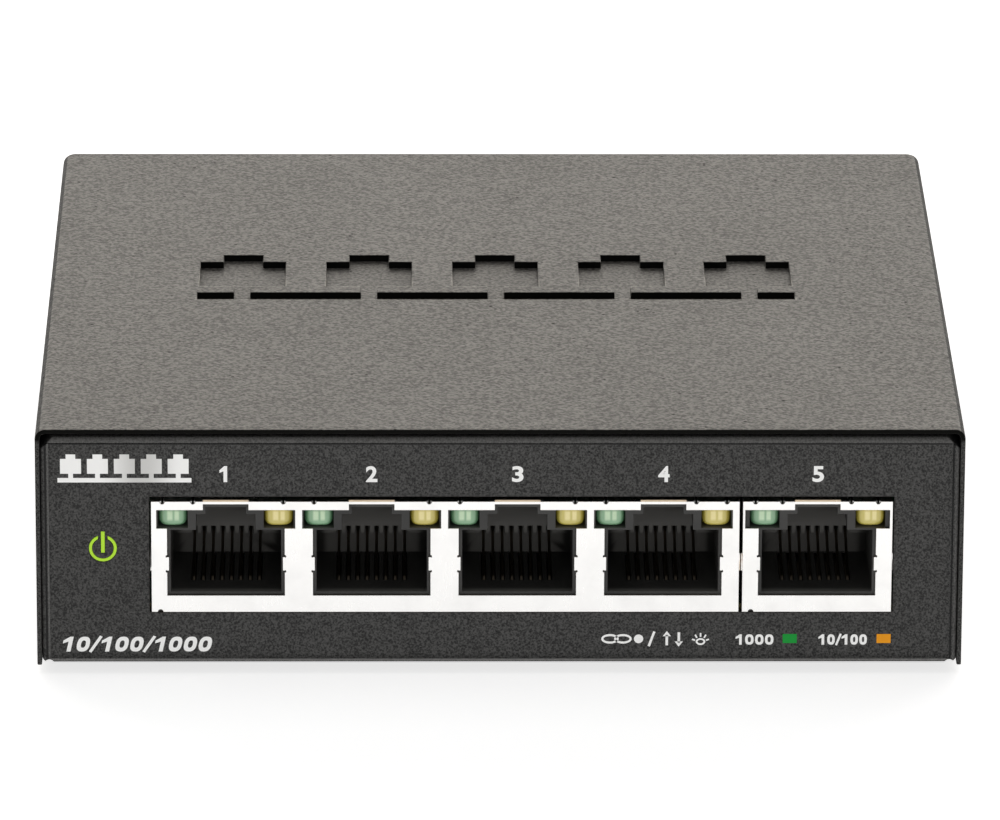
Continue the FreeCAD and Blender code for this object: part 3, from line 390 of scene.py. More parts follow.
def cut_edge():
    """Near-black painted shade on the cut front edge and on the pressed sign's steep back walls,
    which face the front. Down the box's two front corners, below the top sheet, the edge is dry and
    grey instead, with no painted shade."""
    coat = Finish("edge_coat")
    runs = coat.grain(0.9 * mm, 2.0)
    tone = coat.blend(runs, (0.002, 0.002, 0.002), (0.005, 0.005, 0.004))
    across, _, up = coat.axes()
    beside = abs(across).rise(49.3 * mm, 49.45 * mm) * abs(across).rise(49.98 * mm, 49.88 * mm)
    beside = beside * up.rise(26.9 * mm, 26.4 * mm)
    crests = coat.grain(0.2 * mm, 2.0).rise(0.34, 0.66)
    dry = coat.blend(crests, (0.012, 0.012, 0.012), (0.09, 0.09, 0.087))
    tone = coat.blend(beside, tone, dry)
    return coat.close(tone, runs * 0.2 + 0.4, [(runs, 0.01 * mm)], ior=1.12)


cover = broken_edges("top_cover", "cover_sheet", 0.12 * mm, cover_coat)
of_sides, of_shaded_edges = 1, 2
for finish in (side_coat, cut_edge()):
    cover.data.materials.append(finish)
# Faces towards the front on the cut edge and the sign's back walls take the near-black painted
# shade; the sides take the shaded copy of the coat.
for face in cover.data.polygons:
    cut_front = face.center.y < -48.7 * mm
    if face.normal.y < -0.45 and (cut_front or abs(face.center.y) < 20 * mm):
        face.material_index = of_shaded_edges
    elif abs(face.center.x) > 49.2 * mm and abs(face.normal.x) > 0.5:
        face.material_index = of_sides
stands_for(cover, "cover_paint", "top_cover")

# ---- Base tray
# The second sheet: floor, front panel with a shallow pressed field, and back panel. The same paint,
# but sprayed finer and drier than on the cover. Its field's rim carries painted highlights and
# painted shade.
def field_rim(coat):
    """The pressed field's rim: painted highlights on its top land, low slope and sides, and painted
    shade on its upper slope and side edges.
    """
    across, depth, up = coat.axes()
    front = depth.rise(-48.4 * mm, -48.6 * mm)
    inner = abs(across).rise(48.6 * mm, 48.3 * mm)
    left, right = across.rise(-48.0 * mm, -48.5 * mm), across.rise(48.0 * mm, 48.5 * mm)
    middle_up = up.rise(1.5 * mm, 1.9 * mm) * up.rise(26.6 * mm, 26.2 * mm)
    top_land = up.within(26.78 * mm, 0.2 * mm, 0.12 * mm)
    low_slope = up.within(1.62 * mm, 0.1 * mm, 0.1 * mm) * inner
    left_slope = across.within(-48.66 * mm, 0.05 * mm, 0.06 * mm) * middle_up
    right_land = across.within(49.2 * mm, 0.1 * mm, 0.15 * mm) * right * 0.5
    bright = top_land * 0.42 | low_slope * 0.6 | left_slope * 0.5 | right_land * 0.5
    top_slope = up.within(26.36 * mm, 0.09 * mm, 0.05 * mm) * inner
    left_edge = across.within(-48.92 * mm, 0.08 * mm, 0.05 * mm) * left * middle_up
    right_edge = across.within(48.78 * mm, 0.07 * mm, 0.05 * mm) * middle_up
    return bright * front, (top_slope | left_edge | right_edge) * front * 0.9


panel_coat = powder_coat(
    "panel_coat",
    dark=(0.008, 0.008, 0.008),
    pale=(0.078, 0.077, 0.075),
    wrinkle=0.2 * mm,
    depth=0.02 * mm,
    rough=0.62,
    edge=0.15 * mm,
    thin=0.5,
    shine=1.35,
    marks=field_rim,
)
tray = broken_edges("base_chassis", "base_tray", 0.08 * mm, panel_coat)
stands_for(tray, "base_paint", "base_chassis")


# ---- Printed marks on the front
# Screen-printed ink on the panel's field: port numbers, the lamp key, the line speeds and the
# maker's place, which holds a plain sign of five sockets on one line.
def ink(name, colour):
    """Screen ink: flat and opaque, a little thin where the paint under it is coarse."""
    film = Finish(name)
    mesh_marks = film.grain(0.09 * mm, 1.0)
    thin = film.grain(0.3 * mm, 3.0, seed=4.0).rise(0.62, 0.8)
    tone = film.blend(thin * 0.25, colour, tuple(0.55 * part for part in colour))
    return film.close(tone, mesh_marks * 0.15 + 0.4, [(mesh_marks, 0.003 * mm)], ior=1.3)


field_face, film_thickness, film_sunk = -48.7 * mm, 0.02 * mm, 0.005 * mm


def print_on_front(name, outlines, material):
    """Flat marks, each given as an outline of (x, z) points in millimetres, as a film of ink."""
    shape = bmesh.new()
    for outline in outlines:
        ring = [shape.verts.new((x * mm, field_face + film_sunk, z * mm)) for x, z in outline]
        face = shape.faces.new(ring)
        grown = bmesh.ops.extrude_face_region(shape, geom=[face])["geom"]
        top = [part for part in grown if isinstance(part, bmesh.types.BMVert)]
        bmesh.ops.translate(shape, verts=top, vec=(0, -film_thickness, 0))
    bmesh.ops.recalc_face_normals(shape, faces=shape.faces)
    stands_for(set_down(name, kept_mesh(shape, name, material)), "base_paint")


def lettering(name, body, left, low, width, height):
    """A printed figure, fitted to its width and height on the panel."""
    line = bpy.data.curves.new(name, "FONT")
    line.body, line.offset, line.resolution_u, line.extrude = body, 0.03, 6, 0.05
    words = set_down(name, line)
    ready = words.evaluated_get(bpy.context.evaluated_depsgraph_get())
    mesh = bpy.data.meshes.new_from_object(ready)
    bpy.data.objects.remove(words)
    points = [vertex.co for vertex in mesh.vertices]
    near, far = (Vector(pick(p[i] for p in points) for i in range(3)) for pick in (min, max))
    for point in points:
        across = (point.x - near.x) / (far.x - near.x)
        up = (point.y - near.y) / (far.y - near.y)
        deep = film_thickness if point.z > 0 else -film_sunk
        place = ((left + across * width) * mm, field_face - deep, (low + up * height) * mm)
        point.x, point.y, point.z = place
    return mesh


def oval(x, z, wide, high, count=28):
    turns = [2 * math.pi * i / count for i in range(count)]
    return [(x + wide * math.cos(turn), z + high * math.sin(turn)) for turn in turns]


def bulge(value, square):
    """A sine or cosine, pushed out so that its circle turns square."""
    return math.copysign(abs(value) ** square, value)


def hoop(x, z, wide, high, line, square=1.0, count=14):
    """The outlines of the two halves of a ring that is drawn with a pen of one width."""
    halves = []
    for first in (0, count):
        turns = [math.pi * (first + i) / count for i in range(count + 1)]
        round_ = [(bulge(math.cos(t), square), bulge(math.sin(t), square)) for t in turns]
        outer = [(x + wide * c, z + high * s) for c, s in round_]
        inner = [(x + (wide - line) * c, z + (high - line) * s) for c, s in round_]
        halves.append(outer + inner[::-1])
    return halves


def printed_line(marks, left, low, width, height, pen, slant=0.0):
    """The outlines of a line of noughts, ones and slashes."""
    shares = [0.6 if mark == "/" else 1.0 for mark in marks]
    cell, outlines = width / sum(shares), []
    for mark, share in zip(marks, shares):
        wide = cell * share * 0.86
        if mark == "0":
            outlines += hoop(left + wide / 2, low + height / 2, wide / 2, height / 2, pen, 0.8)
        elif mark == "/":
            outlines.append(stroke(left, low - 0.06, left + wide, low + height + 0.06, pen * 0.8))
        else:
            right, top = left + wide * 0.78, low + height
            flag = right - pen - wide * 0.42
            outlines.append(
                [
                    (right - pen, low),
                    (right, low),
                    (right, top),
                    (right - pen * 0.8, top),
                    (flag, top - height * 0.26),
                    (flag, top - height * 0.26 - pen * 0.75),
                    (right - pen, top - height * 0.33),
                ]
            )
        left += cell * share
    return [[(x + slant * (z - low), z) for x, z in outline] for outline in outlines]


def stroke(x0, z0, x1, z1, line):
    """The outline of one straight pen stroke."""
    length = math.hypot(x1 - x0, z1 - z0)
    aside = (-(z1 - z0) / length * line / 2, (x1 - x0) / length * line / 2)
    return [
        (x0 - aside[0], z0 - aside[1]),
        (x1 - aside[0], z1 - aside[1]),
        (x1 + aside[0], z1 + aside[1]),
        (x0 + aside[0], z0 + aside[1]),
    ]


def socket_sign(left, low, width, height):
    """Five sockets standing on one line, the same sign as the one pressed into the cover."""
    pitch, bar, stem = width / 4.98, height * 0.16, height * 0.15
    half_sign, half_latch, half_stem = pitch * 0.39, pitch * 0.18, pitch * 0.09
    body_top, top = height * 0.84, height
    outline = [(left, low), (left + width, low), (left + width, low + bar)]
    for number in (4, 3, 2, 1, 0):
        middle = left + width / 2 + (number - 2) * pitch
        outline += [
            (middle + half_stem, low + bar),
            (middle + half_stem, low + bar + stem),
            (middle + half_sign, low + bar + stem),
            (middle + half_sign, low + body_top),
            (middle + half_latch, low + body_top),
            (middle + half_latch, low + top),
            (middle - half_latch, low + top),
            (middle - half_latch, low + body_top),
            (middle - half_sign, low + body_top),
            (middle - half_sign, low + bar + stem),
            (middle - half_stem, low + bar + stem),
            (middle - half_stem, low + bar),
        ]
    return outline + [(left, low + bar)]


def silver_ink():
    """The sign's ink holds silver flake, and greys softly towards its middle."""
    film = Finish("silver_ink")
    flake = film.grain(0.12 * mm, 2.0)
    across = film.axes()[0]
    middle = across.within(-38.6 * mm, 0.4 * mm, 4.2 * mm)
    tone = film.blend(middle * 0.8, (0.94, 0.94, 0.93), (0.52, 0.515, 0.50))
    tone = film.blend(flake.rise(0.55, 0.75) * 0.15, tone, (0.99, 0.99, 0.98))
    return film.close(tone, flake * 0.15 + 0.35, [(flake, 0.003 * mm)], ior=1.3)


print_on_front("front_sign", [socket_sign(-47.6, 21.9, 14.4, 3.2)], silver_ink())
white_ink = ink("white_ink", (0.92, 0.92, 0.91))
key_z, sun_x, sun_z = 3.92, 21.75, 3.62
key_marks = [
    *hoop(11.95, key_z, 0.95, 0.55, 0.24),
    *hoop(13.35, key_z, 0.95, 0.55, 0.24),
    oval(15.05, key_z, 0.5, 0.5),
    stroke(16.15, key_z - 0.85, 16.75, key_z + 0.85, 0.26),
    stroke(18.1, key_z - 0.75, 18.1, key_z + 0.45, 0.28),
    [(17.65, key_z + 0.3), (18.55, key_z + 0.3), (18.1, key_z + 0.9)],
    stroke(19.4, key_z - 0.45, 19.4, key_z + 0.75, 0.28),
    [(18.95, key_z - 0.3), (19.4, key_z - 0.9), (19.85, key_z - 0.3)],
    *hoop(sun_x, key_z - 0.32, 0.52, 0.4, 0.2),
]
for angle in (15, 52, 90, 128, 165):
    x, z = math.cos(math.radians(angle)), math.sin(math.radians(angle))
    inner = (sun_x + 0.62 * x, sun_z + 0.52 * z)
    outer = (sun_x + 0.95 * x, sun_z + 0.98 * z)
    key_marks.append(stroke(*inner, *outer, 0.18))
print_on_front("lamp_key", key_marks, white_ink)
speeds = printed_line("10/100/1000", -47.5, 2.47, 16.4, 1.72, 0.44, slant=0.22)
speeds += printed_line("1000", 25.5, 3.24, 4.3, 1.2, 0.29)
speeds += printed_line("10/100", 34.5, 3.24, 5.4, 1.2, 0.29)
print_on_front("line_speeds", speeds, white_ink)

port_pitch = 15.715
ports = [-29.54 + port_pitch * count for count in range(4)] + [34.22]
figure_low, figure_high, figure_half = 21.94, 1.83, 0.62
first_figure = printed_line("1", ports[0] - figure_half, figure_low, 1.2, figure_high, 0.4)
print_on_front("figure_1", first_figure, white_ink)
figures = bmesh.new()
for number, across in enumerate(ports[1:], start=2):
    left, wide = across - figure_half, 2 * figure_half
    part = lettering(f"figure_{number}", str(number), left, figure_low, wide, figure_high)
    figures.from_mesh(part)
    bpy.data.meshes.remove(part)
bmesh.ops.remove_doubles(figures, verts=figures.verts, dist=0.0005 * mm)
bmesh.ops.recalc_face_normals(figures, faces=figures.faces)
port_figures = set_down("figures_2_to_5", kept_mesh(figures, "figures_2_to_5", white_ink))
stands_for(port_figures, "base_paint")

for name, left, film in (
    ("key_green", 30.64, ink("green_ink", (0.004, 0.29, 0.035))),
    ("key_orange", 40.81, ink("orange_ink", (0.80, 0.31, 0.006))),
):
    right, low, high = left + 1.53, 3.43, 4.47
    print_on_front(name, [[(left, low), (right, low), (right, high), (left, high)]], film)


# ---- Jack shells
# Thin brass strip folded into boxes and plated bright, four ports in one and the fifth by itself.
# The plating is missing on the sheared edges, where the brass shows.
def plated_sheet(name, colour, edge_colour, rough, sheared_behind=None):
    """Bright plating with fine rolling marks, smears and bare metal on the sheared edges."""
    plate = Finish(name)
    rolled = plate.grain(0.25 * mm, 2.0, stretch=(1.0, 1.0, 0.06))
    smears = plate.grain(3.5 * mm, 4.0, seed=3.0)
    scratches = plate.grain(0.12 * mm, 1.0, seed=6.0, stretch=(0.04, 1.0, 1.0)).rise(0.66, 0.76)
    rounded, worn = plate.edges(0.05 * mm)
    tone = plate.blend(smears.rise(0.4, 0.75) * 0.35, colour, tuple(0.84 * part for part in colour))
    if sheared_behind is not None:
        in_front = plate.axes()[1].rise(sheared_behind, sheared_behind - 0.05 * mm)
        cut_face = (1 - abs(plate.facing()[1])).rise(0.5, 0.9) * in_front
        tone = plate.blend(cut_face * 0.85, tone, edge_colour)
    tone = plate.blend(worn * 0.25, tone, edge_colour)
    shine = rolled * 0.08 + smears * 0.1 + scratches * 0.15 + rough
    relief = [(smears, 0.01 * mm), (rolled, 0.002 * mm)]
    return plate.close(tone, shine, relief, rounded, metallic=1.0)


shell_plating = plated_sheet(
    "shell_plating", (0.97, 0.96, 0.945), (0.62, 0.42, 0.22), 0.2, -48.58 * mm
)
for node, name in (("jack_block_shell", "block_shell"), ("jack_single_shell", "single_shell")):
    shell = broken_edges(node, name, 0.015 * mm, shell_plating)
    stands_for(shell, "tinned_shell", node)


# The shell's top sheet shows its sheared brass edge across each latch notch.
def bare_brass():
    brass = Finish("bare_brass")
    shear = brass.grain(0.15 * mm, 3.0, stretch=(0.3, 1.0, 3.0))
    tone = brass.blend(shear, (0.78, 0.58, 0.36), (0.94, 0.80, 0.62))
    return brass.close(tone, shear * 0.2 + 0.3, [(shear, 0.01 * mm)], metallic=0.4)


lips, lip_size = bmesh.new(), Vector((4.95, 0.26, 0.24))
for across in ports:
    for vertex in bmesh.ops.create_cube(lips, size=1.0)["verts"]:
        vertex.co = (Vector((across, -48.7, 19.8)) + vertex.co * lip_size) * mm
rounding = {"segments": 2, "profile": 0.5, "affect": "EDGES"}
bmesh.ops.bevel(lips, geom=list(lips.edges), offset=0.05 * mm, **rounding)
notch_lips = set_down("notch_lips", kept_mesh(lips, "notch_lips", bare_brass()))
stands_for(notch_lips, "tinned_shell")


# ---- Jack housings
# Moulded black polyester with a spark-eroded texture: the five cavities, the stepped latch
# keyways and the combs that hold the contact wires apart.
def moulded(name, dark, pale, texture, rough, deeper=None):
    """Moulded plastic: eroded texture, flow marks and polished edges. Deeper is how far in a jack's
    combs stand: their front faces, and the floor of its mouth, are painted paler, painted light for
    the light that reaches into the jack."""
    resin = Finish(name)
    eroded = resin.grain(texture, 2.0)
    flow = resin.grain(6 * mm, 3.0, seed=2.0, stretch=(1.0, 0.3, 1.0))
    dust = resin.pits(texture * 6, seed=3.0).rise(0.14, 0.04)
    rounded, worn = resin.edges(0.08 * mm)
    tone = resin.blend(flow.rise(0.3, 0.7), dark, pale)
    tone = resin.blend(dust * 0.25, tone, tuple(min(1.0, 2.2 * part) for part in pale))
    if deeper is not None:
        # Painted light on the combs' front faces and on the mouth's floor.
        in_far = resin.axes()[1].rise(deeper - 0.6 * mm, deeper)
        painted_comb_light = in_far * resin.facing()[1].rise(-0.6, -0.9)
        tone = resin.blend(painted_comb_light, tone, tuple(3.2 * part for part in pale))
        at_mouth = resin.axes()[1].rise(-47.2 * mm, -48.4 * mm)
        painted_mouth_light = resin.facing()[2].rise(0.5, 0.9) * at_mouth
        tone = resin.blend(painted_mouth_light * 0.8, tone, (0.16, 0.155, 0.145))
    tone = resin.blend(worn * 0.5, tone, tuple(min(1.0, 1.8 * part) for part in pale))
    shine = eroded * 0.14 + flow * 0.06 + (rough - 0.1)
    return resin.close(tone, shine, [(flow, 0.004 * mm), (eroded, texture * 0.05)], rounded)


jack_resin = moulded(
    "jack_resin", (0.020, 0.020, 0.019), (0.038, 0.037, 0.035), 0.07 * mm, 0.5, deeper=-38.2 * mm
)
housings = (("jack_block_housing", "block_housing"), ("jack_single_housing", "single_housing"))
for node, name in housings:
    housing = broken_edges(node, name, 0.04 * mm, jack_resin, steps=1)
    stands_for(housing, "jack_plastic", node)


# ---- Contact wires
# Eight gilded phosphor-bronze springs in each port: a solder tail, a run under the cavity's floor,
# a folded knee and a rising end that the plug presses down.
def new_tree(name, **inputs):
    """A tree of Geometry Nodes with named inputs. Gives its first wire and one for each input."""
    tree = bpy.data.node_groups.new(name, "GeometryNodeTree")
    tree.interface.new_socket("Shape", in_out="INPUT", socket_type="NodeSocketGeometry")
    tree.interface.new_socket("Shape", in_out="OUTPUT", socket_type="NodeSocketGeometry")
    for label, kind in inputs.items():
        socket = "NodeSocket" + kind
        tree.interface.new_socket(label.replace("_", " "), in_out="INPUT", socket_type=socket)
    start = Wire(tree)
    first = start.node("NodeGroupInput").socket.node
    return start, {socket.name: Wire(tree, socket) for socket in first.outputs if socket.name}


def end_tree(shape, finish):
    """Ends a tree: its instances made real and its finish set."""
    real = shape.node("GeometryNodeRealizeInstances", {}, {"Geometry": shape})
    dressed = real.node("GeometryNodeSetMaterial", {}, {"Geometry": real, "Material": finish})
    dressed.node("NodeGroupOutput", {}, {"Shape": dressed})
    return dressed.tree


def join(*shapes):
    """Several shapes as one."""
    joined = shapes[0].node("GeometryNodeJoinGeometry")
    for shape in shapes:
        joined.tree.links.new(shape.socket, joined.socket.node.inputs[0])
    return joined


def line_of(shape, count, step, first=None):
    """A shape repeated along a line of points."""
    places = {"Count": count, "Offset": step}
    if first:
        places["Start Location"] = first
    points = shape.node("GeometryNodeMeshLine", {}, places)
    return points.node("GeometryNodeInstanceOnPoints", {}, {"Points": points, "Instance": shape})


def along_x(start, distance):
    return start.node("ShaderNodeCombineXYZ", {}, {"X": distance})


def placed_at(start, shape, **place):
    """A shape moved, or turned, inside a tree."""
    return start.node("GeometryNodeTransform", {}, {"Geometry": shape, **place})


def run_tree(name, tree, mesh, **sizes):
    """Runs a tree on a mesh with its sizes, and keeps what comes out as a plain mesh."""
    made = set_down(name, mesh)
    step = made.modifiers.new("tree", "NODES")
    step.node_group = tree
    for item in tree.interface.items_tree:
        label = item.name.replace(" ", "_")
        if item.in_out == "INPUT" and label in sizes:
            step[item.identifier] = sizes[label]
    ready = made.evaluated_get(bpy.context.evaluated_depsgraph_get())
    plain = bpy.data.meshes.new_from_object(ready)
    made.modifiers.remove(step)
    made.data = plain
    return made


def gilded():
    gold = Finish("contact_gilding")
    drawn = gold.grain(0.08 * mm, 2.0, stretch=(1.0, 0.1, 0.1))
    wiped = gold.grain(1.2 * mm, 2.0, seed=3.0)
    height = gold.axes()[2]
    tone = gold.blend(wiped.rise(0.35, 0.7), (0.72, 0.50, 0.20), (0.60, 0.42, 0.19))
    tone = gold.blend(height.rise(7.6 * mm, 6.8 * mm), tone, (0.62, 0.61, 0.58))
    # Painted shade: the knees and rising ends inside the cavities are darkened where shade falls.
    painted_cavity_shade = gold.axes()[1].rise(-35.9 * mm, -36.3 * mm) * height.rise(8.4 * mm, 8.7 * mm)
    tone = gold.blend(painted_cavity_shade, tone, (0.12, 0.10, 0.075))
    return gold.close(tone, drawn * 0.12 + wiped * 0.08 + 0.2, [(drawn, 0.002 * mm)], metallic=1.0)


wire_inputs = {
    "Bend_radius": "Float",
    "Wire_width": "Float",
    "Wire_thickness": "Float",
    "Pitch": "Float",
    "Wires": "Int",
    "Port_pitch": "Float",
    "Single_port": "Float",
    "Finish": "Material",
}
start, given = new_tree("contact_wires", **wire_inputs)
route = start.node("GeometryNodeMeshToCurve", {}, {"Mesh": given["Shape"]})
bent = {"Curve": route, "Count": 4, "Radius": given["Bend radius"], "Limit Radius": True}
route = start.node("GeometryNodeFilletCurve", {"mode": "POLY"}, bent)
section = start.node(
    "GeometryNodeCurvePrimitiveQuadrilateral",
    {"mode": "RECTANGLE"},
    {"Width": given["Wire width"], "Height": given["Wire thickness"]},
)
corner = {"Curve": section, "Count": 2, "Radius": given["Wire thickness"] * 0.3}
section = start.node("GeometryNodeFilletCurve", {"mode": "POLY"}, corner)
swept = {"Curve": route, "Profile Curve": section, "Fill Caps": True}
wire = start.node("GeometryNodeCurveToMesh", {}, swept)
row = line_of(wire, given["Wires"], along_x(start, given["Pitch"] * 2))
four = line_of(row, 4, along_x(start, given["Port pitch"]))
fifth = placed_at(start, row, Translation=along_x(start, given["Single port"]))
contact_tree = end_tree(join(four, fifth), given["Finish"])

gilding = gilded()
contact_parts = bmesh.new()
jack_front, wire_pitch = -48.85, 1.02
for stagger in (0, 1):
    tail = jack_front + 13.6 + 1.1 * stagger
    first_wire = ports[0] + (stagger - 3.5) * wire_pitch
    path = [(tail, 4.6), (tail, 8.55), (-44.3, 8.55), (-44.55, 9.02), (-44.15, 9.5), (-36.65, 12.6)]
    route_mesh = bpy.data.meshes.new("contact_route")
    points = [(first_wire * mm, y * mm, z * mm) for y, z in path]
    route_mesh.from_pydata(points, [(i, i + 1) for i in range(len(points) - 1)], [])
    row_of_four = run_tree(
        f"contact_row_{stagger}",
        contact_tree,
        route_mesh,
        Bend_radius=0.22 * mm,
        Wire_width=0.32 * mm,
        Wire_thickness=0.2 * mm,
        Pitch=wire_pitch * mm,
        Wires=4,
        Port_pitch=port_pitch * mm,
        Single_port=(ports[4] - ports[0]) * mm,
        Finish=gilding,
    )
    contact_parts.from_mesh(row_of_four.data)
    bpy.data.objects.remove(row_of_four)
contact_wires = set_down("contact_wires", kept_mesh(contact_parts, "contact_wires", gilding))
even_shading(contact_wires)
stands_for(contact_wires, "contact_gold", *[f"contacts_port_{i}" for i in range(1, 6)])


# ---- Port lamps
# Domed oblong lamps of tinted epoxy, green at each port's left and yellow at its right.
# Two stand in every port's upper corners, behind the edge of the shell.
def smoothed(mesh, crease=35):
    """Shades a mesh smooth between its creases."""
    mesh.shade_smooth()
    mesh.set_sharp_from_angle(angle=math.radians(crease))
    return mesh


def turned(name, profile, count=32, square=1.0, flat=1.0):
    """A closed solid turned about Z from a profile of (radius, height), in millimetres. It can be
    squarer than round, and flatter."""
    shape = bmesh.new()
    rings = []
    for radius, height in profile:
        if radius < 1e-6:
            rings.append([shape.verts.new((0, 0, height * mm))] * count)
            continue
        ring = []
        for i in range(count):
            turn = 2 * math.pi * i / count
            x, y = bulge(math.cos(turn), square), bulge(math.sin(turn), square)
            ring.append(shape.verts.new((radius * x * mm, radius * flat * y * mm, height * mm)))
        rings.append(ring)
    for low, high in zip(rings, rings[1:]):
        for i in range(count):
            following = (i + 1) % count
            corners = list(dict.fromkeys((low[i], low[following], high[following], high[i])))
            if len(corners) > 2:
                shape.faces.new(corners)
    bmesh.ops.recalc_face_normals(shape, faces=shape.faces)
    return smoothed(kept_mesh(shape, name))


def lamp_resin(name, deep, pale, glint_colour):
    """Tinted epoxy, deeper towards its rim and painted paler in its middle, as light would fall. Two
    painted highlights lie in its middle, at the same place in each lamp."""
    epoxy = Finish(name)
    at = epoxy.start.node("ShaderNodeAttribute", {"attribute_name": "lamp_place"}, out="Vector")
    across, up = epoxy.axes(at)[:2]
    out = (across * across + up * up) ** 0.5
    cloud = epoxy.grain(0.5 * mm, 2.0)
    tone = epoxy.blend(out.rise(1.75 * mm, 0.8 * mm), deep, pale)
    left_glint = across.within(-0.32 * mm, 0.16 * mm, 0.26 * mm)
    right_glint = across.within(0.42 * mm, 0.12 * mm, 0.24 * mm)
    painted_glints = (left_glint + right_glint) * up.within(0.05 * mm, 0.32 * mm, 0.4 * mm)
    tone = epoxy.blend(painted_glints * 0.75, tone, glint_colour)
    tone = epoxy.blend(cloud * 0.2, tone, deep)
    # The highlights also glow a little: painted glow, as the lamps are not lit.
    glow = epoxy.blend(painted_glints * 0.8, deep, glint_colour)
    return epoxy.close(
        tone,
        cloud * 0.08 + 0.16,
        [(cloud, 0.004 * mm)],
        emission_color=glow,
        emission_strength=0.1,
        coat_weight=0.6,
        coat_roughness=0.08,
        ior=1.54,
    )


def remembered(start, shape, label):
    """A shape whose points remember where they lie now, for its finish to read."""
    here = {"Geometry": shape, "Name": label, "Value": start.node("GeometryNodeInputPosition")}
    return start.node("GeometryNodeStoreNamedAttribute", {"data_type": "FLOAT_VECTOR"}, here)


sizes = ("Across", "Depth", "Height", "Pitch", "Single")
start, given = new_tree("lamp_pairs", **dict.fromkeys(sizes, "Float"), Finish="Material")
lamp = remembered(start, given["Shape"], "lamp_place")
lying = placed_at(start, lamp, Rotation=(math.radians(90), 0.0, 0.0))
first_place = {"X": given["Across"], "Y": given["Depth"], "Z": given["Height"]}
stood = start.node("ShaderNodeCombineXYZ", {}, first_place)
placed = placed_at(start, lying, Translation=stood)
four = line_of(placed, 4, along_x(start, given["Pitch"]))
fifth = placed_at(start, placed, Translation=along_x(start, given["Single"]))
lamp_tree = end_tree(join(four, fifth), given["Finish"])

lamp_half, lamp_dome = 1.56, 1.3
lamp_profile = [(0, -5.2), (1.3, -5.2), (lamp_half, -5.0), (lamp_half, 0.0)]
for angle in range(10, 90, 10):
    turn = math.radians(angle)
    lamp_profile.append((lamp_half * math.cos(turn) ** 0.45, lamp_dome * math.sin(turn) ** 0.9))
lamp_profile.append((0, lamp_dome))
for colour, side, deep, pale, glint_colour in (
    ("green", -1, (0.07, 0.18, 0.09), (0.23, 0.40, 0.24), (0.60, 0.76, 0.52)),
    ("yellow", 1, (0.30, 0.25, 0.03), (0.56, 0.48, 0.13), (0.86, 0.76, 0.38)),
):
    lamps = run_tree(
        f"lamps_{colour}",
        lamp_tree,
        turned(f"lamp_{colour}", lamp_profile, square=0.55, flat=0.84),
        Across=(ports[0] + side * 5.7) * mm,
        Depth=(jack_front + 0.3 + lamp_dome) * mm,
        Height=17.98 * mm,
        Pitch=port_pitch * mm,
        Single=(ports[4] - ports[0]) * mm,
        Finish=lamp_resin(f"{colour}_epoxy", deep, pale, glint_colour),
    )
    stands_for(lamps, f"led_{colour}", *[f"led_{colour}_{i}" for i in range(1, 6)])

# ---- Lamp leads
# Two tinned legs behind each port lamp, bent down through the board behind the jack.
def dress(finish, *nodes):
    """Gives CAD nodes their finish."""
    for node in nodes:
        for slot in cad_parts[node].material_slots:
            slot.material = finish


lead_tin = plated_sheet("lead_tin", (0.70, 0.69, 0.66), (0.52, 0.42, 0.30), 0.26)
dress(lead_tin, "led_leads")


# ---- Power light
# A clear moulded guide from a small white lamp on the board to the panel, where its end is the
# power sign. Its face is printed lime green over the lit shape.
def guide_resin():
    guide = Finish("guide_resin")
    depth = guide.axes()[1]
    cloud = guide.grain(0.6 * mm, 2.0)
    face = depth.rise(-47.6 * mm, -48.0 * mm)
    tone = guide.blend(cloud * 0.4, (0.62, 0.68, 0.60), (0.50, 0.56, 0.48))
    tone = guide.blend(face, tone, (0.36, 0.62, 0.012))
    tone = guide.blend(face * cloud.rise(0.55, 0.8) * 0.2, tone, (0.28, 0.50, 0.010))
    lit = guide.blend(face, (0.05, 0.06, 0.04), (0.37, 0.66, 0.008))
    relief = [(cloud, 0.004 * mm)]
    return guide.close(tone, cloud * 0.1 + 0.24, relief, emission_color=lit, emission_strength=0.22)


def lamp_package():
    body = Finish("lamp_package")
    at_height = body.axes()[2]
    speckle = body.grain(0.1 * mm, 2.0)
    tone = body.blend(speckle, (0.74, 0.73, 0.68), (0.82, 0.81, 0.77))
    tone = body.blend(at_height.rise(7.55 * mm, 7.7 * mm) * 0.8, tone, (0.78, 0.66, 0.18))
    rounded = body.edges(0.06 * mm)[0]
    return body.close(tone, speckle * 0.1 + 0.32, [(speckle, 0.003 * mm)], rounded)


dress(guide_resin(), "power_light_pipe")
dress(lamp_package(), "power_led")


# ---- Cover screws and board screws
# Four blackened machine screws with flat crossed heads hold the cover's sides, and four bright
# zinc pan heads hold the board on its standoffs.
def islands(node):
    """The box of each separate solid of a CAD node, as its lowest and highest corner."""
    shape = whole_faces(node)
    left, boxes = set(shape.verts), []
    while left:
        reached, edge = set(), [left.pop()]
        while edge:
            vertex = edge.pop()
            reached.add(vertex)
            for link in vertex.link_edges:
                other = link.other_vert(vertex)
                if other in left:
                    left.discard(other)
                    edge.append(other)
        points = [vertex.co for vertex in reached]
        low, high = (Vector(pick(p[i] for p in points) for i in range(3)) for pick in (min, max))
        boxes.append((low, high))
    shape.free()
    return sorted(boxes, key=lambda pair: tuple(pair[0]))


def less(body, *cutters):
    """A mesh with other ones taken out of it, one after another."""
    things = [set_down(mesh.name, mesh) for mesh in (body, *cutters)]
    for cutter in things[1:]:
        cut = things[0].modifiers.new("cut", "BOOLEAN")
        cut.operation, cut.solver, cut.object = "DIFFERENCE", "EXACT", cutter
    ready = things[0].evaluated_get(bpy.context.evaluated_depsgraph_get())
    mesh = bpy.data.meshes.new_from_object(ready)
    for thing in things:
        bpy.data.objects.remove(thing)
    return smoothed(mesh)


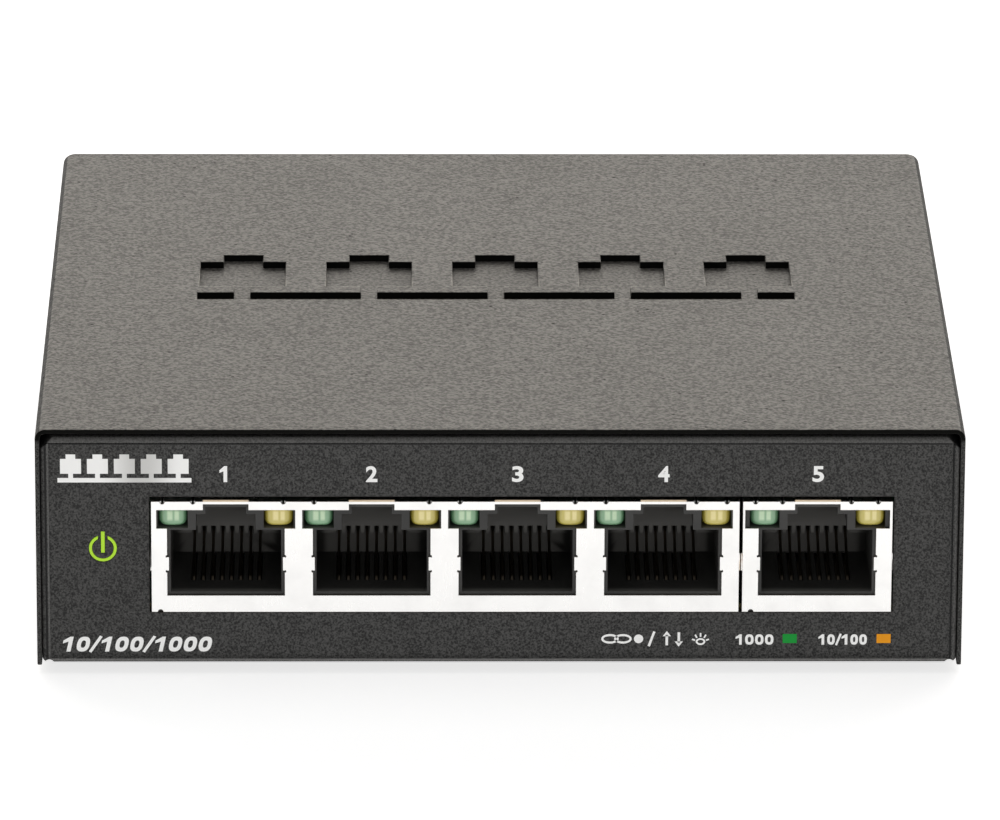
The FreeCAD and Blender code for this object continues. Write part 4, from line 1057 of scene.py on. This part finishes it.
def screw(name, head, head_height, crown, shank, length):
    """A crossed machine screw that points down from its head's top, with a rolled thread."""
    profile = [(0, -length), (shank * 0.6, -length)]
    height, ridge, pitch = -length + 0.25, True, 0.25
    while height < -head_height - pitch:
        profile.append((shank if ridge else shank * 0.86, height))
        height, ridge = height + pitch, not ridge
    profile += [(shank * 0.9, -head_height), (head - 0.12, -head_height)]
    profile += [(head, -head_height + 0.12), (head, -crown), (head - 0.1, -crown * 0.55)]
    profile += [(head - 0.4, -crown * 0.2), (head * 0.55, 0), (0, 0)]
    reach, half, deep = head * 0.58, head * 0.11, min(1.1, head_height + 0.3)
    arms = []
    for turn in (0, math.pi / 2):
        arm = bmesh.new()
        corners = []
        for z, shrink in ((0.2, 1.0), (-deep, 0.35)):
            for x, y in ((-reach, -half), (reach, -half), (reach, half), (-reach, half)):
                at = Matrix.Rotation(turn + 0.01, 3, "Z") @ Vector((x * shrink, y, z))
                corners.append(arm.verts.new(at * mm))
        ends = ((0, 1, 2, 3), (4, 5, 6, 7))
        for ids in (*ends, (0, 1, 5, 4), (1, 2, 6, 5), (2, 3, 7, 6), (3, 0, 4, 7)):
            arm.faces.new([corners[i] for i in ids])
        bmesh.ops.recalc_face_normals(arm, faces=arm.faces)
        arms.append(kept_mesh(arm, name + "_arm"))
    return less(turned(name, profile, 28), *arms)


def steel_finish(name, colour, pale, rough, worn_colour, metallic=1.0):
    """Plated or blackened steel: blotchy plating, turning marks and bright worn edges."""
    steel = Finish(name)
    blotches = steel.grain(1.1 * mm, 4.0)
    fine = steel.grain(0.12 * mm, 2.0, seed=2.0)
    oil = steel.grain(4 * mm, 2.0, seed=5.0)
    rounded, worn = steel.edges(0.1 * mm)
    tone = steel.blend(blotches.rise(0.35, 0.7), colour, pale)
    tone = steel.blend(worn * 0.7, tone, worn_colour)
    shine = blotches * 0.12 + fine * 0.06 + oil * 0.05 + (rough - 0.08)
    relief = [(blotches, 0.006 * mm), (fine, 0.003 * mm)]
    return steel.close(tone, shine, relief, rounded, metallic=metallic)


start, given = new_tree("set_out", Part="Object", Finish="Material")
unit = start.node("GeometryNodeObjectInfo", {}, {"Object": given["Part"]}, out="Geometry")
unit = remembered(start, unit, "part_place")
vector = {"data_type": "FLOAT_VECTOR"}
turn = start.node("GeometryNodeInputNamedAttribute", vector, {"Name": "turn"})
scale = start.node("GeometryNodeInputNamedAttribute", vector, {"Name": "size"})
spots = {"Points": given["Shape"], "Instance": unit, "Rotation": turn, "Scale": scale}
out = start.node("GeometryNodeInstanceOnPoints", {}, spots)
set_out_tree = end_tree(out, given["Finish"])


def set_out(name, part, finish, places):
    """A part repeated at places, each a point, a turn about X, Y and Z, and a size."""
    points = bpy.data.meshes.new(name + "_places")
    points.from_pydata([place for place, _, _ in places], [], [])
    for label, values in (("turn", [t for _, t, _ in places]), ("size", [s for _, _, s in places])):
        layer = points.attributes.new(label, "FLOAT_VECTOR", "POINT")
        layer.data.foreach_set("vector", [number for value in values for number in value])
    master = set_down(name + "_part", part)
    made = run_tree(name, set_out_tree, points, Part=master, Finish=finish)
    bpy.data.objects.remove(master)
    return made


whole = (1.0, 1.0, 1.0)
black_steel = steel_finish(
    "black_steel", (0.028, 0.028, 0.030), (0.055, 0.054, 0.055), 0.34, (0.30, 0.29, 0.28)
)
places, head_face = [], 49.93 * mm
for low, high in islands("cover_screws"):
    side = 1 if low.x > 0 else -1
    middle, tip = (low + high) / 2, high.x - low.x
    spin = Matrix.Rotation(0.3 if middle.y > 0 else -0.5, 3, "Z")
    outward = (Matrix.Rotation(side * math.pi / 2, 3, "Y") @ spin).to_euler()
    places.append(((side * head_face, middle.y, middle.z), tuple(outward), whole))
cover_screws = set_out(
    "cover_screw_set", screw("cover_screw", 2.7, 1.15, 0.75, 1.45, tip / mm), black_steel, places
)
stands_for(cover_screws, "black_steel", "cover_screws")

bright_zinc = steel_finish(
    "bright_zinc", (0.58, 0.59, 0.60), (0.70, 0.70, 0.69), 0.3, (0.80, 0.79, 0.77)
)
board_boxes = islands("board_screws")
places = [
    (((low.x + high.x) / 2, (low.y + high.y) / 2, high.z), (0.0, 0.0, 0.4 + count), whole)
    for count, (low, high) in enumerate(board_boxes)
]
low, high = board_boxes[0]
board_screws = set_out(
    "board_screw_set",
    screw("board_screw", (high.x - low.x) / 2 / mm, 1.7, 1.2, 1.4, (high.z - low.z) / mm),
    bright_zinc,
    places,
)
stands_for(board_screws, "zinc_steel", "board_screws")

# ---- Standoffs and press nuts
# Hexagonal steel standoffs pressed into the tray's floor, and round nuts clinched into its side
# flanges for the cover screws.
dress(bright_zinc, "board_standoffs", "clinch_nuts")


# ---- Rubber feet
# Four soft discs pressed through the floor, each with a hollow underside and a rounded rim.
def rubber_finish():
    rubber = Finish("foot_rubber")
    matt = rubber.grain(0.15 * mm, 3.0)
    scuffs = rubber.grain(1.6 * mm, 4.0, seed=3.0)
    height = rubber.axes()[2]
    tone = rubber.blend(matt, (0.014, 0.014, 0.014), (0.026, 0.026, 0.025))
    dusty = scuffs.rise(0.5, 0.8) * height.rise(0.5 * mm, 0.0)
    tone = rubber.blend(dusty * 0.6, tone, (0.11, 0.105, 0.10))
    relief = [(scuffs, 0.02 * mm), (matt, 0.01 * mm)]
    return rubber.close(tone, matt * 0.12 + scuffs * 0.1 + 0.62, relief)


foot_nodes = ["foot_front_left", "foot_front_right", "foot_rear_left", "foot_rear_right"]
foot_profile = [(0, 0.45), (1.1, 0.45), (1.2, 0.3), (2.7, 0.3), (2.95, 0.0), (3.9, 0.0)]
foot_profile += [(4.25, 0.12), (4.45, 0.38), (4.5, 0.7), (4.5, 1.2), (0, 1.2)]
places = []
for node in foot_nodes:
    low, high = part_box(node)
    places.append((((low.x + high.x) / 2, (low.y + high.y) / 2, 0.0), (0.0, 0.0, 0.0), whole))
feet = set_out("rubber_feet", turned("foot", foot_profile, 40), rubber_finish(), places)
stands_for(feet, "foot_rubber", *foot_nodes)


# ---- Rating label
# A satin polyester film stuck under the floor. It is printed with empty ruled boxes and plain
# bars, and carries no words.
def label_film():
    film = Finish("label_film")
    across, along, _ = film.axes()
    fibre = film.grain(0.2 * mm, 2.0)
    middle = -26 * mm
    sides = abs(across).within(26.6 * mm, 0.12 * mm, 0.03 * mm)
    sides = sides * abs(along - middle).rise(8.8 * mm, 8.7 * mm)
    ends = abs(along - middle).within(8.6 * mm, 0.12 * mm, 0.03 * mm)
    ends = ends * abs(across).rise(26.8 * mm, 26.7 * mm)
    ruled = along.maths("PINGPONG", along - middle, 1.45 * mm).within(0.0, 0.09 * mm, 0.03 * mm)
    ruled = ruled * across.within(-11 * mm, 13 * mm, 0.05 * mm)
    ruled = ruled * along.within(middle, 6.4 * mm, 0.05 * mm)
    bars = film.grain(0.42 * mm, 0.0, seed=8.0, stretch=(1.0, 0.0, 0.0)).rise(0.5, 0.52)
    bars = bars * across.within(14.5 * mm, 8.5 * mm, 0.02 * mm)
    bars = bars * along.within(middle, 3.2 * mm, 0.02 * mm)
    marks = sides | ends | ruled | bars
    tone = film.blend(fibre, (0.70, 0.70, 0.68), (0.76, 0.76, 0.74))
    tone = film.blend(marks * 0.92, tone, (0.03, 0.03, 0.035))
    return film.close(tone, fibre * 0.1 + 0.36, [(fibre, 0.003 * mm), (marks, 0.004 * mm)])


dress(label_film(), "rating_label")

# ---- Power inlet
# The barrel socket in the back panel: a black housing with a round collar, a nickel centre pin
# and the leaf that presses on the plug's barrel.
def softened(node, name, width, finish, slot, body="chassis"):
    """Stands a copy with broken edges in for a CAD node."""
    stands_for(broken_edges(node, name, width, finish), slot, node, body=body)


softened("dc_jack_housing", "inlet_housing", 0.12 * mm, jack_resin, "jack_plastic")
nickel = steel_finish("nickel", (0.66, 0.64, 0.60), (0.74, 0.72, 0.68), 0.16, (0.84, 0.82, 0.78))
softened("dc_jack_pin", "inlet_pin", 0.08 * mm, nickel, "nickel_pin")
dress(nickel, "dc_jack_spring")

# ---- Reset switch
# A small tactile switch behind a hole in the back panel: a moulded base, a pressed steel frame, a
# sprung steel dome and the grey button that moves a quarter of a millimetre.
switch_resin = moulded("switch_resin", (0.018, 0.018, 0.019), (0.032, 0.031, 0.031), 0.06 * mm, 0.5)
softened("reset_switch_base", "switch_base", 0.08 * mm, switch_resin, "jack_plastic")
softened("reset_switch_frame", "switch_frame", 0.04 * mm, nickel, "spring_steel")
button_resin = moulded("button_resin", (0.20, 0.20, 0.20), (0.25, 0.25, 0.245), 0.05 * mm, 0.42)
softened(
    "reset_button", "button_stem", 0.1 * mm, button_resin, "button_plastic", body="reset_button"
)
dress(nickel, "reset_switch_dome")


# ---- Circuit board
# Green solder mask over a glass and epoxy laminate: copper tracks show as a paler green under
# the mask, with tinned vias, and the routed edge shows the bare laminate.
def solder_mask():
    board = Finish("solder_mask")
    across, along, height = board.axes()
    weave = board.grain(0.5 * mm, 2.0, stretch=(1.0, 0.2, 1.0))
    lanes = board.start.node(
        "ShaderNodeTexBrick",
        {"offset": 0.37, "squash": 1.0},
        {
            "Vector": board.place,
            "Scale": 1.0,
            "Mortar Size": 0.09 * mm,
            "Mortar Smooth": 0.1,
            "Brick Width": 7.3 * mm,
            "Row Height": 0.9 * mm,
        },
        out="Fac",
    )
    zones = board.grain(13 * mm, 1.0, seed=4.0).rise(0.44, 0.5)
    vias = board.pits(1.9 * mm, seed=2.0)
    ring, hole = vias.rise(0.17, 0.15), vias.rise(0.08, 0.07)
    face = abs(board.facing()[2]).rise(0.5, 0.8)
    tone = board.blend(weave, (0.008, 0.070, 0.030), (0.012, 0.095, 0.040))
    tone = board.blend(lanes * zones * 0.8, tone, (0.035, 0.20, 0.085))
    tone = board.blend(ring, tone, (0.62, 0.56, 0.40))
    tone = board.blend(hole, tone, (0.01, 0.01, 0.008))
    laminate = board.blend(weave, (0.42, 0.36, 0.16), (0.50, 0.44, 0.22))
    tone = board.blend(face, laminate, tone)
    shine = ring * -0.1 + weave * 0.08 + 0.3
    return board.close(tone, shine, [(lanes * zones, 0.03 * mm), (ring, 0.02 * mm)], coat_weight=0.2)


dress(solder_mask(), "main_board")


# ---- Chips
# Transfer-moulded packages: drafted sides that meet at the lead frame, a matt top, a round dimple
# that marks the first lead, and gull-wing leads of tinned copper.
def chip_body(name, box, finish):
    """A moulded package inside a box, drafted both ways from its parting line, with its dimple."""
    low, high = box
    centre, half = (low + high) / 2, (high - low) / 2
    parting = low.z + (high.z - low.z) * 0.45
    draft = min(half.x, half.y) * 0.05
    edge = min(half.z, half.x, half.y) * 0.12
    shape = bmesh.new()

    def outline(height, inset):
        wide, deep, cut = half.x - inset, half.y - inset, edge * 1.2
        corners = []
        for x, y, order in ((1, 1, 1), (-1, 1, 0), (-1, -1, 1), (1, -1, 0)):
            pair = [(x * wide, y * (deep - cut)), (x * (wide - cut), y * deep)]
            corners += pair if order else pair[::-1]
        return [shape.verts.new((centre.x + x, centre.y + y, height)) for x, y in corners]

    rings = [
        outline(low.z, draft + edge),
        outline(low.z + edge, draft),
        outline(parting, 0),
        outline(high.z - edge, draft),
        outline(high.z, draft + edge),
    ]
    for first, second in zip(rings, rings[1:]):
        for i in range(8):
            shape.faces.new([first[i], first[(i + 1) % 8], second[(i + 1) % 8], second[i]])
    shape.faces.new(rings[0][::-1])
    radius = min(half.x, half.y) * 0.13
    spot = Vector((centre.x - half.x * 0.72, centre.y - half.y * 0.66, high.z))
    turns = [2 * math.pi * i / 20 for i in range(20)]
    around = [Vector((math.cos(turn), math.sin(turn), 0)) * radius for turn in turns]
    rim = [shape.verts.new(spot + out) for out in around]
    sunk = Vector((0, 0, -radius * 0.25))
    bowl = [shape.verts.new(spot + out * 0.6 + sunk) for out in around]
    edges = [shape.edges.new((a, b)) for a, b in zip(rim, rim[1:] + rim[:1])]
    edges += [shape.edges.get((a, b)) for a, b in zip(rings[-1], rings[-1][1:] + rings[-1][:1])]
    bmesh.ops.triangle_fill(shape, edges=edges, use_beauty=True)
    for i in range(20):
        shape.faces.new([rim[i], rim[(i + 1) % 20], bowl[(i + 1) % 20], bowl[i]])
    shape.faces.new(bowl)
    bmesh.ops.recalc_face_normals(shape, faces=shape.faces)
    return set_down(name, kept_mesh(shape, name, finish))


chip_resin = moulded("chip_resin", (0.016, 0.016, 0.017), (0.030, 0.029, 0.029), 0.09 * mm, 0.56)
chips = [("switch_chip", "switch_package"), ("flash_chip", "memory_package")]
chips += [("buck_regulator", "regulator_package")]
chips += [(f"transformer_{i}", f"magnetics_{i}") for i in range(1, 6)]
for node, name in chips:
    stands_for(chip_body(name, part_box(node), chip_resin), "chip_resin", node)
dress(lead_tin, "switch_chip_leads", "small_chip_leads", "transformer_leads")


# ---- Heat sink
# A black anodised extrusion of nine fins on the switch chip, over a grey thermal pad.
def pad_finish():
    pad = Finish("thermal_pad")
    gel = pad.grain(0.3 * mm, 4.0)
    tone = pad.blend(gel, (0.30, 0.32, 0.36), (0.40, 0.42, 0.46))
    return pad.close(tone, gel * 0.2 + 0.6, [(gel, 0.02 * mm)], pad.edges(0.15 * mm)[0])


dress(pad_finish(), "thermal_pad")
sizes = ("Width", "Depth", "Base_height", "Fin_height", "Fin_thickness")
fin_inputs = {**dict.fromkeys(sizes, "Float"), "Fins": "Int", "Finish": "Material"}
start, given = new_tree("finned_sink", **fin_inputs)


def block_of(width, depth, height):
    """A block that stands on the origin."""
    sizes = start.node("ShaderNodeCombineXYZ", {}, {"X": width, "Y": depth, "Z": height})
    cube = start.node("GeometryNodeMeshCube", {}, {"Size": sizes})
    up = start.node("ShaderNodeCombineXYZ", {}, {"Z": height * 0.5})
    return placed_at(start, cube, Translation=up)


base_block = block_of(given["Width"], given["Depth"], given["Base height"])
rib = block_of(given["Fin thickness"], given["Depth"], given["Base height"] + given["Fin height"])
gap = (given["Width"] - given["Fin thickness"]) / (given["Fins"] - 1)
first_rib = along_x(start, (given["Fin thickness"] - given["Width"]) * 0.5)
ribs = line_of(rib, given["Fins"], along_x(start, gap), first_rib)
blocks = start.node("GeometryNodeRealizeInstances", {}, {"Geometry": join(base_block, ribs)})
whole_sink = start.node(
    "GeometryNodeMeshBoolean",
    {"operation": "UNION", "solver": "EXACT"},
    {"Mesh 2": blocks, "Self Intersection": True},
)
sink_tree = end_tree(whole_sink, given["Finish"])
low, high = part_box("heat_sink")
sink_base = 1.6 * mm
black_anodising = steel_finish(
    "black_anodising", (0.018, 0.018, 0.020), (0.032, 0.032, 0.034), 0.42, (0.20, 0.20, 0.20), 0.35
)
sink = run_tree(
    "finned_sink",
    sink_tree,
    bpy.data.meshes.new("sink_start"),
    Width=high.x - low.x,
    Depth=high.y - low.y,
    Base_height=sink_base,
    Fin_height=high.z - low.z - sink_base,
    Fin_thickness=0.9 * mm,
    Fins=9,
    Finish=black_anodising,
)
sink.data.transform(Matrix.Translation(((low.x + high.x) / 2, (low.y + high.y) / 2, low.z)))
stands_for(sink, "black_aluminium", "heat_sink")


# ---- Crystal, coil and capacitors
# A drawn steel crystal can, a ferrite drum coil and two electrolytic cans in printed sleeves with
# scored tops.
can_steel = steel_finish(
    "can_steel", (0.60, 0.60, 0.59), (0.70, 0.70, 0.68), 0.25, (0.80, 0.79, 0.77)
)
softened("crystal", "crystal_can", 0.15 * mm, can_steel, "can_steel")


def ferrite_finish():
    ferrite = Finish("ferrite")
    low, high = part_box("power_inductor")
    middle = (low + high) / 2
    across, along, height = ferrite.axes()
    crumbs = ferrite.grain(0.12 * mm, 4.0)
    x, y = across - middle.x, along - middle.y
    out = (x * x + y * y) ** 0.5
    wound = out.rise(3.2 * mm, 3.15 * mm) * height.within(9.3 * mm, 0.95 * mm, 0.05 * mm)
    turns = height.maths("PINGPONG", height, 0.19 * mm) / (0.19 * mm)
    tone = ferrite.blend(crumbs, (0.035, 0.034, 0.034), (0.065, 0.063, 0.060))
    tone = ferrite.blend(wound, tone, ferrite.blend(turns, (0.28, 0.09, 0.02), (0.62, 0.28, 0.09)))
    relief = [(turns * wound, 0.12 * mm), (crumbs, 0.01 * mm)]
    return ferrite.close(tone, crumbs * 0.2 + 0.45, relief, ferrite.edges(0.15 * mm)[0])


dress(ferrite_finish(), "power_inductor")


def sleeve_finish(node):
    """A capacitor's shrunk sleeve with its pale stripe, and the bare scored top of the can."""
    sleeve = Finish(node + "_sleeve")
    low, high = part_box(node)
    middle = (low + high) / 2
    across, along, height = sleeve.axes()
    x, y = across - middle.x, along - middle.y
    out = (x * x + y * y) ** 0.5
    radius = (high.x - low.x) / 2
    lid = out.rise(radius * 0.82, radius * 0.78) * height.rise(high.z - 0.6 * mm, high.z - 0.3 * mm)
    score = (abs(x).rise(0.16 * mm, 0.1 * mm) | abs(y).rise(0.16 * mm, 0.1 * mm)) * lid
    stripe = x.rise(radius * 0.72, radius * 0.76) * (1 - lid)
    dashes = height.maths("PINGPONG", height, 0.9 * mm).rise(0.5 * mm, 0.52 * mm)
    dash = stripe * abs(y).rise(0.3 * mm, 0.25 * mm) * dashes
    film = sleeve.grain(0.4 * mm, 2.0)
    tone = sleeve.blend(film, (0.012, 0.014, 0.030), (0.022, 0.024, 0.045))
    tone = sleeve.blend(stripe * 0.9, tone, (0.42, 0.43, 0.45))
    tone = sleeve.blend(dash, tone, (0.02, 0.02, 0.03))
    tone = sleeve.blend(lid, tone, sleeve.blend(film, (0.62, 0.62, 0.61), (0.72, 0.72, 0.70)))
    relief = [(1 - score, 0.12 * mm), (film, 0.006 * mm)]
    return sleeve.close(tone, film * 0.12 + 0.26, relief, metallic=lid)


for node, name in (("input_capacitor", "input_can"), ("output_capacitor", "output_can")):
    softened(node, name, 0.1 * mm, sleeve_finish(node), "can_sleeve")


# ---- Chip capacitors and resistors
# Ceramic blocks with tinned ends, soldered in rows behind the transformers and by the chip.
def chip_part():
    """A block one unit in size, with end caps that stand a little proud of its body."""
    shape = bmesh.new()
    for x0, x1, girth in ((-0.3, 0.3, 0.92), (-0.5, -0.3, 1.0), (0.3, 0.5, 1.0)):
        for vertex in bmesh.ops.create_cube(shape, size=1.0)["verts"]:
            vertex.co.x = x0 + (vertex.co.x + 0.5) * (x1 - x0)
            vertex.co.y *= girth
            vertex.co.z *= girth
    bmesh.ops.bevel(shape, geom=list(shape.edges), offset=0.05, **rounding)
    return smoothed(kept_mesh(shape, "chip_part"), 50)


def ceramic(name, dark, pale):
    block = Finish(name)
    at = block.start.node("ShaderNodeAttribute", {"attribute_name": "part_place"}, out="Vector")
    ends = abs(block.axes(at)[0]).rise(0.29, 0.31)
    grains = block.grain(0.08 * mm, 3.0)
    tone = block.blend(grains, dark, pale)
    tone = block.blend(ends, tone, block.blend(grains, (0.62, 0.61, 0.58), (0.74, 0.73, 0.70)))
    return block.close(tone, grains * 0.15 + 0.32, [(grains, 0.006 * mm)], metallic=ends)


tan = ((0.30, 0.19, 0.10), (0.40, 0.27, 0.15))
black = ((0.014, 0.014, 0.016), (0.030, 0.030, 0.032))
for node, name, slot, (dark, pale) in (
    ("chip_capacitors", "capacitor_rows", "ceramic_tan", tan),
    ("chip_resistors", "resistor_rows", "ceramic_black", black),
):
    places = []
    for low, high in islands(node):
        extent = high - low
        sideways = extent.y > extent.x
        long, short = (extent.y, extent.x) if sideways else (extent.x, extent.y)
        turn = (0.0, 0.0, math.pi / 2 if sideways else 0.0)
        places.append((tuple((low + high) / 2), turn, (long, short, extent.z)))
    rows = set_out(name, chip_part(), ceramic(name + "_ceramic", dark, pale), places)
    stands_for(rows, slot, node)
